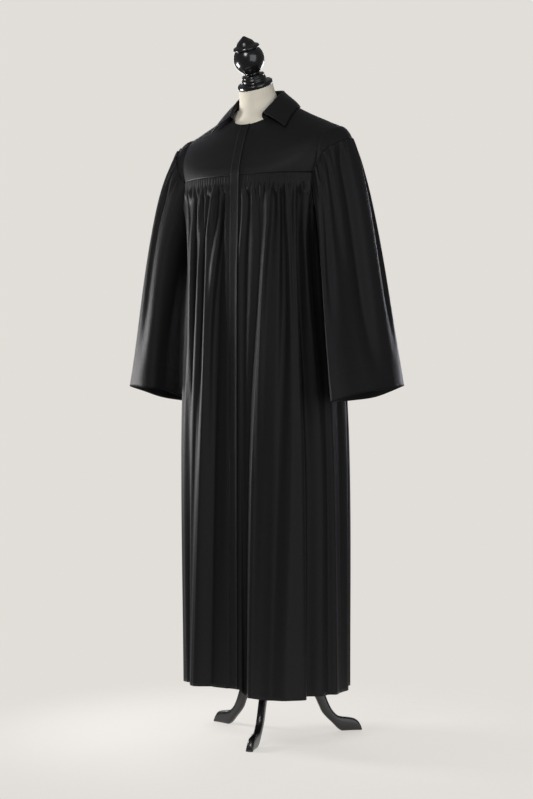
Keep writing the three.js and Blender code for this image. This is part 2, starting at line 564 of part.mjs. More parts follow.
/** Sleeve and head band, both on lines that sweep from the armhole to the cuff. */
function sleeve(rows, hollows, stretches) {
  const path = (u, part) => {
    const start = armholeAt(stretches, u).add(new THREE.Vector3(SEAM, 0, 0));
    const [leave, cuff, arrive] = ['leave', 'cuff', 'arrive'].map((name) => aroundSleeve(rows, name, u));
    const [t, t2, t3] = [part, part ** 2, part ** 3];
    return start.multiplyScalar(2 * t3 - 3 * t2 + 1)
      .addScaledVector(leave, t3 - 2 * t2 + t)
      .addScaledVector(cuff, 3 * t2 - 2 * t3)
      .addScaledVector(arrive, t3 - t2);
  };
  const outward = (u, part) => {
    const down = path(u, part + 0.01).sub(path(u, Math.max(0, part - 0.01)));
    const round = path(u + 0.014, part).sub(path(u - 0.014, part));
    const n = down.cross(round);
    return part === 0 ? n.setX(0).normalize() : n.normalize();
  };
  const surface = (u, part, height) => {
    const drawn = height - hollowDepth(hollows, u, part);
    return path(u, part).addScaledVector(outward(u, part), drawn);
  };
  const bandPart = (u) => {
    if (u <= 0 || u >= 0.5) return 0;
    const width = BAND_WIDTH * Math.sin(2 * Math.PI * u) ** 0.6;
    return width / aroundSleeve(rows, 'leave', u).length();
  };
  const upper = Array.from({ length: 2 * SLEEVE_GATHERS }, (none, k) => k / (4 * SLEEVE_GATHERS));
  const under = Array.from({ length: UNDER_COLUMNS }, (none, k) => 0.5 + (0.5 * k) / UNDER_COLUMNS);
  const around = [...upper, ...under];
  const top = (u) => (bandPart(u) > 0 ? bandPart(u) + SEAM / aroundSleeve(rows, 'leave', u).length() : 0);
  const rise = (k, part) => {
    if (k % 2 === 0 || k >= upper.length) return 0;
    return GATHER_RISE * (part === 0 ? 0.4 : 1) * (1 - ease((part - 0.08) / (GATHER_LENGTH - 0.08)));
  };
  const grid = (height) => SLEEVE_ROWS.map((row) => around.map((u, k) => {
    return surface(u, lerp(top(u), 1, row), height(k, row));
  }));
  const bandColumns = upper.slice(1);
  const bandGrid = (height) => [0, 0.5, 1].map((row) => bandColumns.map((u) => {
    return path(u, bandPart(u) * row).addScaledVector(outward(u, bandPart(u) * row), height);
  }));
  return {
    outer: grid(rise),
    inner: grid(() => -CLOTH),
    bandOuter: bandGrid(0),
    bandInner: bandGrid(-CLOTH),
  };
}

// ---------- Collar ----------
/** Section of the collar at one place: up the stand, over the roll and down the fall. */
function collarSection(at) {
  const ats = COLLAR.map((row) => row.at);
  const value = (pick) => smoothAt(ats, COLLAR.map(pick), at);
  const baseDegrees = value((row) => row.base);
  const base = overFigure(NECKLINE, baseDegrees, NECK_REST + CLOTH / 2);
  const up = figure(NECKLINE - 0.1, baseDegrees).sub(figure(NECKLINE + 0.1, baseDegrees)).normalize();
  const foot = base.clone().addScaledVector(up, SEAM);
  const roll = smoothPoint(ats, COLLAR.map((row) => row.roll), at);
  const edge = overFigure(value((r) => r.edge[0]), value((r) => r.edge[1]), value((r) => r.lift));
  const out = edge.clone().sub(foot).setZ(0).normalize();
  const lifted = new THREE.Vector3(0, 0, ROLL_RADIUS);
  const standTop = roll.clone().addScaledVector(out, -ROLL_RADIUS);
  const fallTop = roll.clone().addScaledVector(out, ROLL_RADIUS);
  const bulge = out.clone().multiplyScalar(3);
  return [
    foot,
    foot.clone().lerp(standTop, 0.55).addScaledVector(out, -2),
    standTop,
    roll.clone().add(lifted),
    fallTop,
    fallTop.clone().lerp(edge, 0.35).add(bulge),
    fallTop.clone().lerp(edge, 0.7).add(bulge),
    edge,
  ];
}

const COLLAR_STEPS = 13;     // steps from each front end of the collar to the centre back

/** Direction towards the neck where the collar is sewn on, from -1 (left end) to 1 (right end). */
function neckNormal(along) {
  const degrees = smoothAt(COLLAR.map((row) => row.at), COLLAR.map((row) => row.base), 1 - Math.abs(along));
  return figureNormal(NECKLINE, along > 0 ? 360 - degrees : degrees).negate();
}

function collar() {
  const half = Array.from({ length: COLLAR_STEPS + 1 }, (none, k) => collarSection(k / COLLAR_STEPS));
  const rows = half[0].map((none, i) => half.map((section) => section[i]));
  const whole = rows.map((row, i) => [...row, ...mirrored(rows)[i].slice(1)]);
  const normals = gridNormals(whole, false);
  normals[0] = whole[0].map((none, j) => neckNormal((j - COLLAR_STEPS) / COLLAR_STEPS));
  return { outer: moved(whole, normals, CLOTH / 2), inner: moved(whole, normals, -CLOTH / 2) };
}

// ---------- Placket ----------
/** Strip down the centre front, laid on the points of both yokes and both front panels. */
function placket(yoke, left, right) {
  const strip = (front) => {
    const yokeRows = yoke.outer.map((row) => row.slice(0, 2));
    return [...yokeRows, ...front.outer.slice(1).map((row) => row.slice(0, 2))];
  };
  const leftRows = strip(left);
  const rightRows = mirrored(strip(right));
  const base = leftRows.map((row, i) => {
    const centre = row[0].clone().add(rightRows[i][1]).multiplyScalar(0.5);
    return [rightRows[i][0].clone(), centre, row[1].clone()];
  });
  const normals = gridNormals(base, false);
  return { outer: moved(base, normals, LAY + CLOTH), inner: moved(base, normals, LAY) };
}

// ---------- Form and stand ----------
const FORM_COLUMNS = 40;
const FORM_STATIONS = [0, 1, 2, 3, 3.5, 4, 4.5, 5, 5.5, 6, 6.5, 7, 7.5, 8, 9, 10, 11, 12, 13, 14, 15];

function formBody() {
  const ring = (station) => {
    const clothed = station > NECKLINE && station < FIGURE.length - 1;
    const inset = clothed ? FORM_INSET * ease(station - NECKLINE) : 0;
    return Array.from({ length: FORM_COLUMNS }, (none, k) => {
      const degrees = (k * 360) / FORM_COLUMNS;
      return clothed ? overFigure(station, degrees, -inset) : figure(station, degrees);
    });
  };
  return skinGeometry(FORM_STATIONS.map(ring));
}

function lathe(profile, segments) {
  const points = profile.map(([radius, height]) => new THREE.Vector2(radius, height));
  return new THREE.LatheGeometry(points, segments).rotateX(Math.PI / 2);
}

function neckCap() {
  const ball = Array.from({ length: BALL.steps + 1 }, (none, k) => {
    const turn = radians(lerp(180 - BALL.from, 180 - BALL.to, k / BALL.steps));
    return [BALL.radius * Math.sin(turn), BALL.height + BALL.radius * Math.cos(turn)];
  });
  const mesh = new THREE.Mesh(lathe([...CAP_PROFILE, ...ball, ...TIP_PROFILE], 20), blackWood);
  const lean = radians(CAP_TILT);
  const { ySide, zSide } = FIGURE[0];
  mesh.rotation.x = lean;
  mesh.position.set(0, ySide - SEAM * Math.sin(lean), zSide + SEAM * Math.cos(lean));
  return mesh;
}

function pole() {
  const length = POLE.top - POLE.foot;
  const mesh = new THREE.Mesh(new THREE.CylinderGeometry(POLE.radius, POLE.radius, length, 20), blackWood);
  mesh.rotation.x = Math.PI / 2;
  mesh.position.set(0, POLE.y, POLE.foot + length / 2);
  return mesh;
}

function hub() {
  const mesh = new THREE.Mesh(lathe(HUB_PROFILE, 20), blackWood);
  mesh.position.set(0, POLE.y, 0);
  return mesh;
}

/** Cabriole leg: its side outline, given thickness, standing at an angle from the front. */
function leg(degrees) {
  const outline = [[LEG.start, LEG_ROOT.under], ...LEG_UNDER, ...LEG_TOP, [LEG.start, LEG_ROOT.top]];
  const shape = new THREE.Shape(outline.map(([reach, height]) => new THREE.Vector2(reach, height)));
  const geometry = new THREE.ExtrudeGeometry(shape, { depth: LEG.thick, bevelEnabled: false, curveSegments: 1 });
  geometry.translate(0, 0, -LEG.thick / 2).rotateX(Math.PI / 2);
  const mesh = new THREE.Mesh(geometry, blackWood);
  mesh.rotation.z = radians(degrees - 90);
  mesh.position.set(0, POLE.y, 0);
  return mesh;
}

// ---------- Assembly ----------
const robe = new THREE.Group();

function add(name, mesh) {
  mesh.name = name;
  robe.add(mesh);
}
const addWall = (name, outer, inner, closed) =>
  add(name, new THREE.Mesh(wallGeometry(outer, inner, closed), blackCloth));

const yokeFront = openShoulder(frontYoke(), false, -1);
const yokeBack = backYoke();
openShoulder(yokeBack, true, 1);
openShoulder(yokeBack, false, 1);
addWall('yoke_front_left', yokeFront.outer, yokeFront.inner);
addWall('yoke_front_right', mirrored(yokeFront.outer), mirrored(yokeFront.inner));
addWall('yoke_back', yokeBack.outer, yokeBack.inner);

const frontEdge = yokeFront.outer[YOKE_ROWS.length - 1];
const backEdge = yokeBack.outer[YOKE_ROWS.length - 1];
const frontCorner = frontEdge[FRONT_SEAM_COLUMNS + 2];
const backCorner = backEdge[BACK_ARMHOLE.length - 1];
const frontSeam = {
  edge: frontEdge.slice(0, FRONT_SEAM_COLUMNS + 3),
  z: YOKE_SEAM_Z,
  gather: FRONT_GATHER,
  arm: (line) => lowerArmhole(frontCorner, line.arm),
  endSeam: true,
  centre: true,
};
const backSeam = {
  edge: backEdge.slice(BACK_ARMHOLE.length - 1, backEdge.length - BACK_ARMHOLE.length + 1),
  z: BACK_SEAM_Z,
  gather: BACK_GATHER,
  arm: (line) => {
    const p = lowerArmhole(backCorner, line.arm);
    return line.flip ? p.setX(-p.x) : p;
  },
  startSeam: true,
  endSeam: true,
};
const frontLeft = skirtPanel(LEFT_FOLDS, frontSeam, LEFT_LIFT_FADE);
const frontRight = skirtPanel(RIGHT_FOLDS, frontSeam, RIGHT_LIFT_FADE);
const back = skirtPanel(BACK_FOLDS, backSeam);
addWall('front_left', frontLeft.outer, frontLeft.inner);
addWall('front_right', mirrored(frontRight.outer), mirrored(frontRight.inner));
addWall('back', back.outer, back.inner);

const quarter = (from, to, corner) =>
  Array.from({ length: 7 }, (none, k) => lowerArmhole(corner, lerp(from, to, k / 6)));
const stretches = [
  frontEdge.slice(FRONT_SEAM_COLUMNS + 2),
  backEdge.slice(0, BACK_ARMHOLE.length),
  quarter(0, 1, backCorner),
  quarter(1, 0, frontCorner),
];
const leftSleeve = sleeve(LEFT_SLEEVE, LEFT_HOLLOWS, stretches);
const rightSleeve = sleeve(RIGHT_SLEEVE, RIGHT_HOLLOWS, stretches);
addWall('sleeve_left', leftSleeve.outer, leftSleeve.inner, true);
addWall('sleeve_right', mirrored(rightSleeve.outer), mirrored(rightSleeve.inner), true);
addWall('sleeve_band_left', leftSleeve.bandOuter, leftSleeve.bandInner);
addWall('sleeve_band_right', mirrored(rightSleeve.bandOuter), mirrored(rightSleeve.bandInner));

const collarWall = collar();
addWall('collar', collarWall.outer, collarWall.inner);
const placketWall = placket(yokeFront, frontLeft, frontRight);
addWall('placket', placketWall.outer, placketWall.inner);

add('form_body', new THREE.Mesh(formBody(), creamCloth));
add('neck_cap', neckCap());
add('pole', pole());
add('hub', hub());
['leg_front', 'leg_left', 'leg_right'].forEach((name, k) => add(name, leg(LEG.first + k * LEG.step)));

// The origin is on the floor, below the middle of the whole object.
robe.updateMatrixWorld(true);
const box = new THREE.Box3().setFromObject(robe, true);
const centre = box.getCenter(new THREE.Vector3());
robe.position.set(-centre.x, -centre.y, -box.min.z);
robe.updateMatrixWorld(true);

export default robe;
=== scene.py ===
"""Clergy robe on a limbless dress form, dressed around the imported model.

Shapes are worked out in millimetres from the middle of the stand's pole, +Z up. X runs to the
wearer's left and the front faces -Y. place() brings them into the model's frame, in metres.
"""

import bpy
import numpy as np
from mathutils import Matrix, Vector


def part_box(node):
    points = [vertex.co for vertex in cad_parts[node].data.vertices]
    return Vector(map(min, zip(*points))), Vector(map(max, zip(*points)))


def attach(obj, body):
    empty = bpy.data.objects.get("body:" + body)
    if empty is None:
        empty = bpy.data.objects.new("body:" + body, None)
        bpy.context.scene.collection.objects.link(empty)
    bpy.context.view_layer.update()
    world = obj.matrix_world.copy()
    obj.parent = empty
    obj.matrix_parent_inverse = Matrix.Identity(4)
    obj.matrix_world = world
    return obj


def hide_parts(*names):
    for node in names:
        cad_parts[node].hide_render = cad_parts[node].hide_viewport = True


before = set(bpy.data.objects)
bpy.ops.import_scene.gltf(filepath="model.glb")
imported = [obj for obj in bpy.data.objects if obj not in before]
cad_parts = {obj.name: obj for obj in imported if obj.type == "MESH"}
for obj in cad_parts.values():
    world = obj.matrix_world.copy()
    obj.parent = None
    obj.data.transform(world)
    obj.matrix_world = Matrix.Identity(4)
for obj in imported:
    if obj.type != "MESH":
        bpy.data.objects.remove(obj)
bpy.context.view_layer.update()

# ---------- Place of the robe in the model's frame ----------
POLE_DEPTH = 45.0            # how far the pole stands behind the robe's axis
POLE_FOOT = 204.3            # height of the pole's lower end
_low, _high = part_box("pole")
AXIS = np.array([
    (_low[0] + _high[0]) / 2,
    (_low[1] + _high[1]) / 2 - POLE_DEPTH / 1000,
    _low[2] - POLE_FOOT / 1000,
])

# ---------- Camera ----------
CAMERA_FROM_AXIS = (2.0849, -3.3326, 0.806)      # metres from the robe's axis at the floor
CAMERA_TURN = 32.0                               # degrees round to the wearer's left
LENS, SENSOR_WIDTH = 73.8, 36.0

camera = bpy.data.objects.new("camera", bpy.data.cameras.new("camera"))
camera.data.lens = LENS
camera.data.sensor_width = SENSOR_WIDTH
camera.location = AXIS + np.array(CAMERA_FROM_AXIS)
camera.rotation_euler = (np.pi / 2, 0.0, np.radians(CAMERA_TURN))
bpy.context.scene.collection.objects.link(camera)
bpy.context.scene.camera = camera

# ---------- Sizes of the garment ----------
CLOTH = 2.0                  # thickness of the modelled cloth
SEAM = 0.4                   # gap where two pieces meet edge to edge
HAIR = 0.05                  # gap where a gathered edge is sewn tight against its neighbour
LAY = 0.35                   # gap under a piece that lies on another
NECK_REST, YOKE_REST = 0.8, 2.5      # gap over the figure at the neckline and over the yoke
FORM_INSET = 4.0             # how far the form is drawn in below the neckline
NECKLINE = 3.0               # station of the neckline on the figure
YOKE_SEAM_Z, BACK_SEAM_Z = 1328.0, 1366.0
HEM_Z, HEM_LIFT = 118.0, 14.0        # height of the hem, and how far it rises at the centre front
LEFT_LIFT_FADE, RIGHT_LIFT_FADE = (6.0, 11.5), (45.0, 92.0)      # degrees where that rise runs out
HIGH_Z, MID_Z = 1153.0, 690.0        # heights at which the fold lines are given, besides the hem
PLACKET_HALF = 12.0
PLUMB_COLUMNS = 7            # columns that run straight down under half the placket
PLACKET_CLOTH = 0.7          # the placket is pressed thinner than the panels it lies on
UNDERARM_X, UNDERARM_Z = 178.0, 1190.0       # lowest point of the armhole
ARM_SPAN = 100.0             # length given to the armhole's lower part on a panel's top edge
BAND_WIDTH = 36.0            # sleeve head's plain band at its widest
LEFT_TUCK, RIGHT_TUCK, BACK_TUCK = 11.5, 14.0, 13.0      # width of a tuck below the yoke seams
BAND_DROP = 27.0             # from the yoke seam down to the row of gathering stitches
PLEAT_HEIGHT, TUCK_HEIGHT, SWELL_HEIGHT = 0.8, 5.2, 2.6      # parts of the gathers, see tucks()
SKIRT_CROWDING, SLEEVE_CROWDING = 1.35, 1.25     # powers that draw rows together near the seam
# Long folds under the gathers, by turns crest and trough: at each of seven drops below the seam
# the fold's place along the seam (first row) and how far it stands proud (second row).
FOLD_DROPS = (45, 100, 150, 210, 300, 440, 700)
LEFT_LINES = np.array([
    [[16, 14, 8, 4, 2, 2, 2], [0, 0, 0, 0, 0, 0, 0]],
    [[26, 25, 20, 16, 15, 16, 15], [3, 4, 4.5, 4.5, 4, 4, 3]],
    [[34, 32, 28, 25, 25, 27, 30], [-5.5, -5, -4, -3, -1.5, 0, 0]],
    [[47, 48, 49, 48, 46, 45, 49], [-0.5, -1, -1, -1, -0.5, 0, 0]],
    [[58, 57, 57, 55, 53, 52, 56], [-4, -3.5, -3, -2.5, -2, -1, 0]],
    [[71, 69, 66, 63, 61, 63, 68], [-2.5, -3, -3, -3, -3, -2.5, -1]],
    [[88, 84, 79, 76, 75, 78, 82], [5, 6, 6, 6, 5.5, 4, 1]],
    [[100, 97, 92, 89, 88, 92, 96], [-6, -5, -4, -3, -1.5, 0, 0]],
    [[111, 111, 110, 109, 108, 111, 115], [2, 1.5, 1, 0.5, 0, 0, 0]],
    [[120, 120, 120, 122, 125, 125, 124], [-7.5, -7.5, -7.5, -7.5, -6.5, -3.5, 0]],
    [[129, 130, 132, 134, 136, 138, 142], [2, 2.5, 2.5, 2.5, 2.5, 1.5, 0]],
    [[137, 138, 139, 141, 143, 145, 147], [-3, -2.5, -1, 0, 0, 0, 0]],
    [[146, 147, 148, 149, 149, 150, 151], [1.5, 1.5, 1, 0.5, 0.5, 0, 0]],
    [[155, 156, 157, 156, 155, 154, 154], [-7, -7.5, -9, -9, -8, -4.5, 0]],
    [[170, 170, 172, 174, 172, 170, 166], [1, 1, 1, 1, 1, 0.5, 0]],
    [[188, 196, 198, 198, 196, 190, 182], [-5, -6, -6, -6, -4, -2, 0]],
    [[210, 216, 218, 218, 216, 210, 202], [0, 0, 0, 0, 0, 0, 0]],
])
RIGHT_LINES = np.array([
    [[13, 13, 13, 13, 13, 13, 13], [0, 0, 0, 0, 0, 0, 0]],
    [[20, 24, 27, 30, 32, 33, 28], [0, 0.5, 1, 1, 1, 0.5, 0]],
    [[28, 33, 37, 41, 44, 44, 38], [-8, -8, -7.5, -7, -6.5, -4, 0]],
    [[37, 42, 46, 50, 53, 52, 48], [3.5, 4, 3.5, 3, 2, 1.5, 0]],
    [[48, 53, 58, 61, 58, 55, 51], [-6, -8, -7, -3, 1.5, 1.5, 0]],
    [[60, 64, 75, 74, 66, 60, 56], [4, 5, 5.5, 5.5, 5.5, 4, 0]],
    [[71, 81, 89, 92, 88, 84, 76], [-5, -3.5, -3, -3, -3, -2, 0]],
    [[82, 91, 98, 102, 100, 97, 88], [2.5, 1.8, 2, 2.5, 3, 2.5, 0]],
    [[91, 99, 105, 108, 107, 104, 95], [-3, -1.5, -0.5, 0.5, 1.5, 1.5, 0]],
    [[101, 107, 111, 113, 113, 109, 100], [2.8, 2.4, 2.4, 2.5, 2, 1.5, 0]],
    [[112, 117, 121, 122, 120, 115, 106], [-5, -4.5, -4, -3.5, -3, -2, 0]],
    [[123, 127, 130, 131, 129, 124, 114], [3.5, 4, 5, 5, 4.5, 3, 0]],
    [[136, 140, 145, 142, 138, 132, 122], [-4, -3, -1, 0, 0, 0, 0]],
    [[150, 152, 154, 152, 148, 142, 132], [3, 3, 2, 1.5, 1.5, 1, 0]],
    [[166, 165, 163, 160, 156, 150, 140], [-3.5, -3.5, -3, -3, -2, -1, 0]],
    [[178, 176, 174, 172, 168, 162, 152], [2, 2, 2, 2, 2, 1, 0]],
    [[200, 200, 198, 196, 190, 184, 174], [0, 0, 0, 0, 0, 0, 0]],
])
POLE_RADIUS, POLE_TOP = 12.5, 769.7
# A leg's thickness, the degrees of the front leg, and the step from each leg to the next.
LEG_THICK, LEG_FIRST, LEG_STEP = 17.0, 15.5, 120.0
LEG_SQUARENESS = 0.62        # power of sine and cosine round a leg: 1 is an oval, 0 a rectangle
CAP_TILT = 26.0              # degrees that the neck cap leans forward

# The figure that form and yoke share, one ring a row from the neck cap down to the seat:
# height at front, side and back, depth at front, side and back, half width, outline power.
FIGURE = np.array([
    [1531, 1550, 1569, -84, -45, -6, 41, 2.0],
    [1500, 1525, 1545, -80, -36, 6, 43, 2.0],
    [1470, 1508, 1525, -80, -28, 18, 50, 2.0],
    [1452, 1500, 1512, -86, -18, 32, 72, 2.0],
    [1425, 1475, 1468, -100, -8, 52, 122, 2.0],
    [1390, 1453, 1430, -114, -2, 72, 170, 2.2],
    [1358, 1434, 1400, -124, 0, 86, 203, 2.4],
    [1328, 1395, 1370, -130, 0, 94, 208, 2.6],
    [1280, 1330, 1320, -126, 0, 96, 190, 2.7],
    [1250, 1250, 1250, -118, 0, 92, 160, 2.5],
    [1170, 1170, 1170, -108, 0, 86, 142, 2.4],
    [1060, 1060, 1060, -92, 0, 70, 118, 2.3],
    [960, 960, 960, -98, 0, 86, 138, 2.3],
    [860, 860, 860, -104, 0, 100, 150, 2.3],
    [790, 790, 790, -100, 0, 98, 148, 2.3],
    [770, 770, 770, -92, 0, 90, 140, 2.3],
])

# Edges of the yoke as station and degrees: armhole in front and behind. Neck and seam in front
# as degrees at their first and last column.
FRONT_ARMHOLE = [(6.8, 57.5), (6.15, 60), (5.78, 66.5), (5.62, 77), (5.7, 90)]
BACK_ARMHOLE = [(5.7, 90), (5.62, 102), (5.8, 112), (6.2, 118.5), (6.75, 122), (7.3, 124)]
FRONT_NECK, FRONT_SEAM = (12.0, 90.0), (4.0, 56.0)

# Fold lines of the skirt: place on the top edge (mm from the centre, or "arm" and how far it
# starts down the armhole), then degrees and radius high, in the middle and at the hem.
SIDE = [("arm", 1), (90, 181), (93, 194), (96, 197)]
LEFT_FOLDS = [
    [0, ("x", 0, 138), ("x", 0, 140), ("x", 0, 138)],
    [12, ("x", 12, 138.5), ("x", 12, 140.5), ("x", 12, 138.5)],
    [20, ("x", 20, 139), ("x", 20, 141), ("x", 20, 138)],
    [57.5, (25, 151), (15.5, 140), (11.5, 130)],
    [69.5, (29.2, 156), (21.4, 163), (18.5, 166)],
    [124, (47.4, 166), (41.3, 180), (35, 190)],
    [137, (51.2, 176), (50.1, 201), (46, 202)],
    [148, (54.5, 180), (55.6, 204), (58, 207)],
    [157.7, (57.7, 176), (65, 171), (66, 168)],
    [("arm", 0), (62, 187), (76.5, 190), (78, 188)],
    [("arm", 0.33), (72, 184), (81, 186), (83, 186)],
    [("arm", 0.66), (81, 184), (86, 197), (88.5, 200)],
    SIDE,
]
RIGHT_FOLDS = [
    [0, ("x", 0, 138), ("x", 0, 140), ("x", 0, 138)],
    [12, ("x", 12, 138.5), ("x", 12, 140.5), ("x", 12, 138.5)],
    [20, ("x", 20, 139), ("x", 20, 143), ("x", 20, 143)],
    [33, (13.8, 137), (20.5, 146), (24, 151)],
    [62, (24, 158), (27, 179), (34, 188)],
    [92, (33.5, 153), (33, 180), (38, 189)],
    [104, (37.5, 168), (36.5, 186), (41, 187)],
    [118, (41.5, 165), (42, 184), (48, 165)],
    [133, (45.5, 180), (48, 197), (54, 189)],
    [146, (50, 176), (55, 192), (60, 195)],
    [159, (55, 186), (63, 203), (68, 201)],
    [("arm", 0), (61, 184), (72, 196), (77, 190)],
    [("arm", 0.5), (76, 184), (82, 202), (87, 204)],
    SIDE,
]
BACK_FOLDS = [
    SIDE,
    [("arm", 0.5), (102, 184), (104, 202), (107, 203)],
    [("arm", 0), (114, 176), (115, 188), (117, 178)],
    [158, (121, 178), (125, 202), (127, 204)],
    [128, (133, 164), (135, 180), (136, 166)],
    [104, (142, 166), (145, 200), (147, 203)],
    [72, (153, 152), (155, 176), (156, 162)],
    [48, (161, 156), (164, 190), (167, 198)],
    [14, (175, 148), (175, 166), (177, 154)],
    [-18, (187, 150), (187, 188), (186, 198)],
    [-50, (199, 150), (198, 172), (197, 160)],
    [-84, (211, 160), (209, 198), (208, 203)],
    [-112, (221, 160), (220, 178), (219, 166)],
    [-140, (232, 174), (232, 202), (231, 204)],
    [-160, (240, 174), (242, 190), (242, 180)],
    [("flip", 0), (247, 178), (252, 202), (252, 204)],
    [("flip", 0.5), (258, 182), (260, 194), (259, 192)],
    [("flip", 1), (270, 181), (267, 194), (264, 197)],
]

# Lines down a sleeve: u round the armhole, direction leaving it, end at the cuff, direction there.
LEFT_SLEEVE = [
    (0, (110, -60, -330), (262, -130, 801), (90, -20, -550)),
    (0.125, (190, -20, -200), (303, -55, 823), (190, -20, -620)),
    (0.25, (222, 20, -30), (329, 30, 832), (165, 0, -680)),
    (0.375, (185, 70, -160), (322, 92, 838), (95, 20, -640)),
    (0.5, (130, 70, -330), (300, 124, 835), (110, 20, -560)),
    (0.62, (90, 30, -300), (252, 88, 812), (60, 10, -480)),
    (0.75, (90, 0, -170), (229, 0, 803), (10, 0, -360)),
    (0.88, (90, -30, -300), (238, -90, 800), (40, -20, -500)),
]
RIGHT_SLEEVE = [
    (0, (180, -80, -300), (258, -128, 833), (60, -10, -550)),
    (0.125, (290, -80, -110), (322, -112, 839), (130, 0, -600)),
    (0.25, (300, -10, -10), (336, -40, 828), (200, -10, -650)),
    (0.375, (190, 60, -160), (330, 36, 812), (200, 10, -640)),
    (0.5, (130, 60, -330), (294, 88, 803), (150, 10, -560)),
    (0.62, (90, 30, -300), (250, 76, 803), (60, 0, -480)),
    (0.75, (90, 0, -170), (229, 0, 808), (10, 0, -360)),
    (0.88, (90, -30, -300), (237, -88, 830), (40, -20, -500)),
]
# Long hollows down a sleeve: where round it, how wide, how deep, from where, to where.
LEFT_HOLLOWS = [
    (0.045, 0.022, 9, 0.1, 0.75),
    (0.11, 0.024, 9, 0.1, 0.6),
    (0.185, 0.026, 15, 0.12, 0.95),
    (0.33, 0.028, 9, 0.1, 0.9),
    (0.43, 0.026, 8, 0.1, 0.8),
]
RIGHT_HOLLOWS = [
    (0.06, 0.026, 10, 0.1, 0.9),
    (0.155, 0.024, 8, 0.1, 0.65),
    (0.25, 0.028, 11, 0.12, 0.95),
    (0.36, 0.026, 9, 0.1, 0.85),
    (0.44, 0.024, 7, 0.1, 0.7),
]

# Collar from its front end to the centre back: part of its length, degrees on the neckline,
# top of the roll, free edge as station and degrees, and the edge's height over the figure.
COLLAR = [
    (0, 34, (46, -83, 1476), 4.35, 45, 10),
    (0.25, 60, (54, -58, 1500), 3.8, 62, 8),
    (0.5, 90, (56, -24, 1526), 3.46, 91, 7),
    (0.75, 135, (41, 14, 1541), 3.52, 137, 7),
    (1, 180, (0, 29, 1546), 3.62, 180, 7),
]
ROLL_RADIUS = 3.4

# Turned profiles, as radius and height.
CAP_PROFILE = [
    (0, 0), (42, 0), (43, 3), (43, 8), (40.5, 10.5), (31, 12), (29.5, 15), (30.5, 18), (27, 24),
    (28.5, 26), (26, 29), (18.5, 31), (17.5, 34), (20, 36),
]
BALL_HEIGHT, BALL_RADIUS, BALL_FROM, BALL_TO = 66.0, 37.0, 35.0, 132.0
TIP_PROFILE = [
    (31, 91), (32.5, 94), (30.5, 97.5), (23, 101), (18, 109), (10, 115), (3, 120.5), (0, 122),
]
HUB_PROFILE = [(0, 100), (10, 100), (20, 106), (24, 115), (24, 196), (18, 200), (16, 204), (0, 204)]
POLE_PROFILE = [(0, POLE_FOOT), (POLE_RADIUS, POLE_FOOT), (POLE_RADIUS, POLE_TOP), (0, POLE_TOP)]
# A leg's upper and under outlines, as distance from the pole and height.
LEG_TOP = [
    (20, 191), (70, 170), (94, 143), (113, 113), (124, 88), (133, 65), (144, 46), (160, 33),
    (182, 29), (203, 23), (213, 11), (217, 0),
]
LEG_UNDER = [
    (20, 119), (55, 112), (80, 100), (97, 84), (108, 62), (118, 42), (141, 18), (167, -4),
    (215, -4),
]
FOOT_Z = -4.0                # height of the under outline at the foot


# ---------- Small tools ----------
def lerp(a, b, t):
    """Straight mix: a where t is 0, b where t is 1."""
    return a + (b - a) * t


def ease(t):
    """Smooth step: 3t squared less 2t cubed, held to 0 and 1 outside."""
    t = np.clip(t, 0.0, 1.0)
    return t * t * (3 - 2 * t)


def unit(vectors):
    """The vectors divided by their own lengths."""
    return vectors / np.maximum(np.linalg.norm(vectors, axis=-1, keepdims=True), 1e-9)


def curve(knots, values, x):
    """Smooth curve through the values at the knots, read at x.

    Each piece is a cubic whose slope at a knot is the mean slope to the knot's two neighbours.
    """
    last = len(knots) - 1

    def slope(k):
        """Mean slope from the knot before to the knot after."""
        a, b = max(k - 1, 0), min(k + 1, last)
        return (values[b] - values[a]) / (knots[b] - knots[a])

    result = None
    for k in range(last):
        width = knots[k + 1] - knots[k]
        t = (x - knots[k]) / width
        piece = (
            (2 * t**3 - 3 * t**2 + 1) * values[k] + (t**3 - 2 * t**2 + t) * width * slope(k)
            + (3 * t**2 - 2 * t**3) * values[k + 1] + (t**3 - t**2) * width * slope(k + 1)
        )
        result = piece if result is None else np.where(x > knots[k], piece, result)
    return result


def waves(x, seed, count, longest, shortest):
    """Sum of count sines of x over root count, wavelengths spread from longest to shortest."""
    draw = np.random.default_rng(seed)
    lengths = np.geomspace(longest, shortest, count) * draw.uniform(0.9, 1.1, count)
    starts = draw.uniform(0, 2 * np.pi, count)
    return sum(np.sin(2 * np.pi * x / l + s) for l, s in zip(lengths, starts)) / np.sqrt(count)


def mirrored(grid):
    """The grid on the wearer's other side, its columns still running the same way round."""
    return (grid * np.array([-1.0, 1.0, 1.0]))[:, ::-1]


def grid_normals(grid, closed=False):
    """Outward directions: the difference down the rows crossed with the one along the columns."""
    down = np.gradient(grid, axis=0)
    if closed:
        along = np.roll(grid, -1, axis=1) - np.roll(grid, 1, axis=1)
    else:
        along = np.gradient(grid, axis=1)
    return unit(np.cross(down, along))


def place(points):
    """Millimetres from the robe's axis as metres in the model's frame."""
    return points / 1000 + AXIS


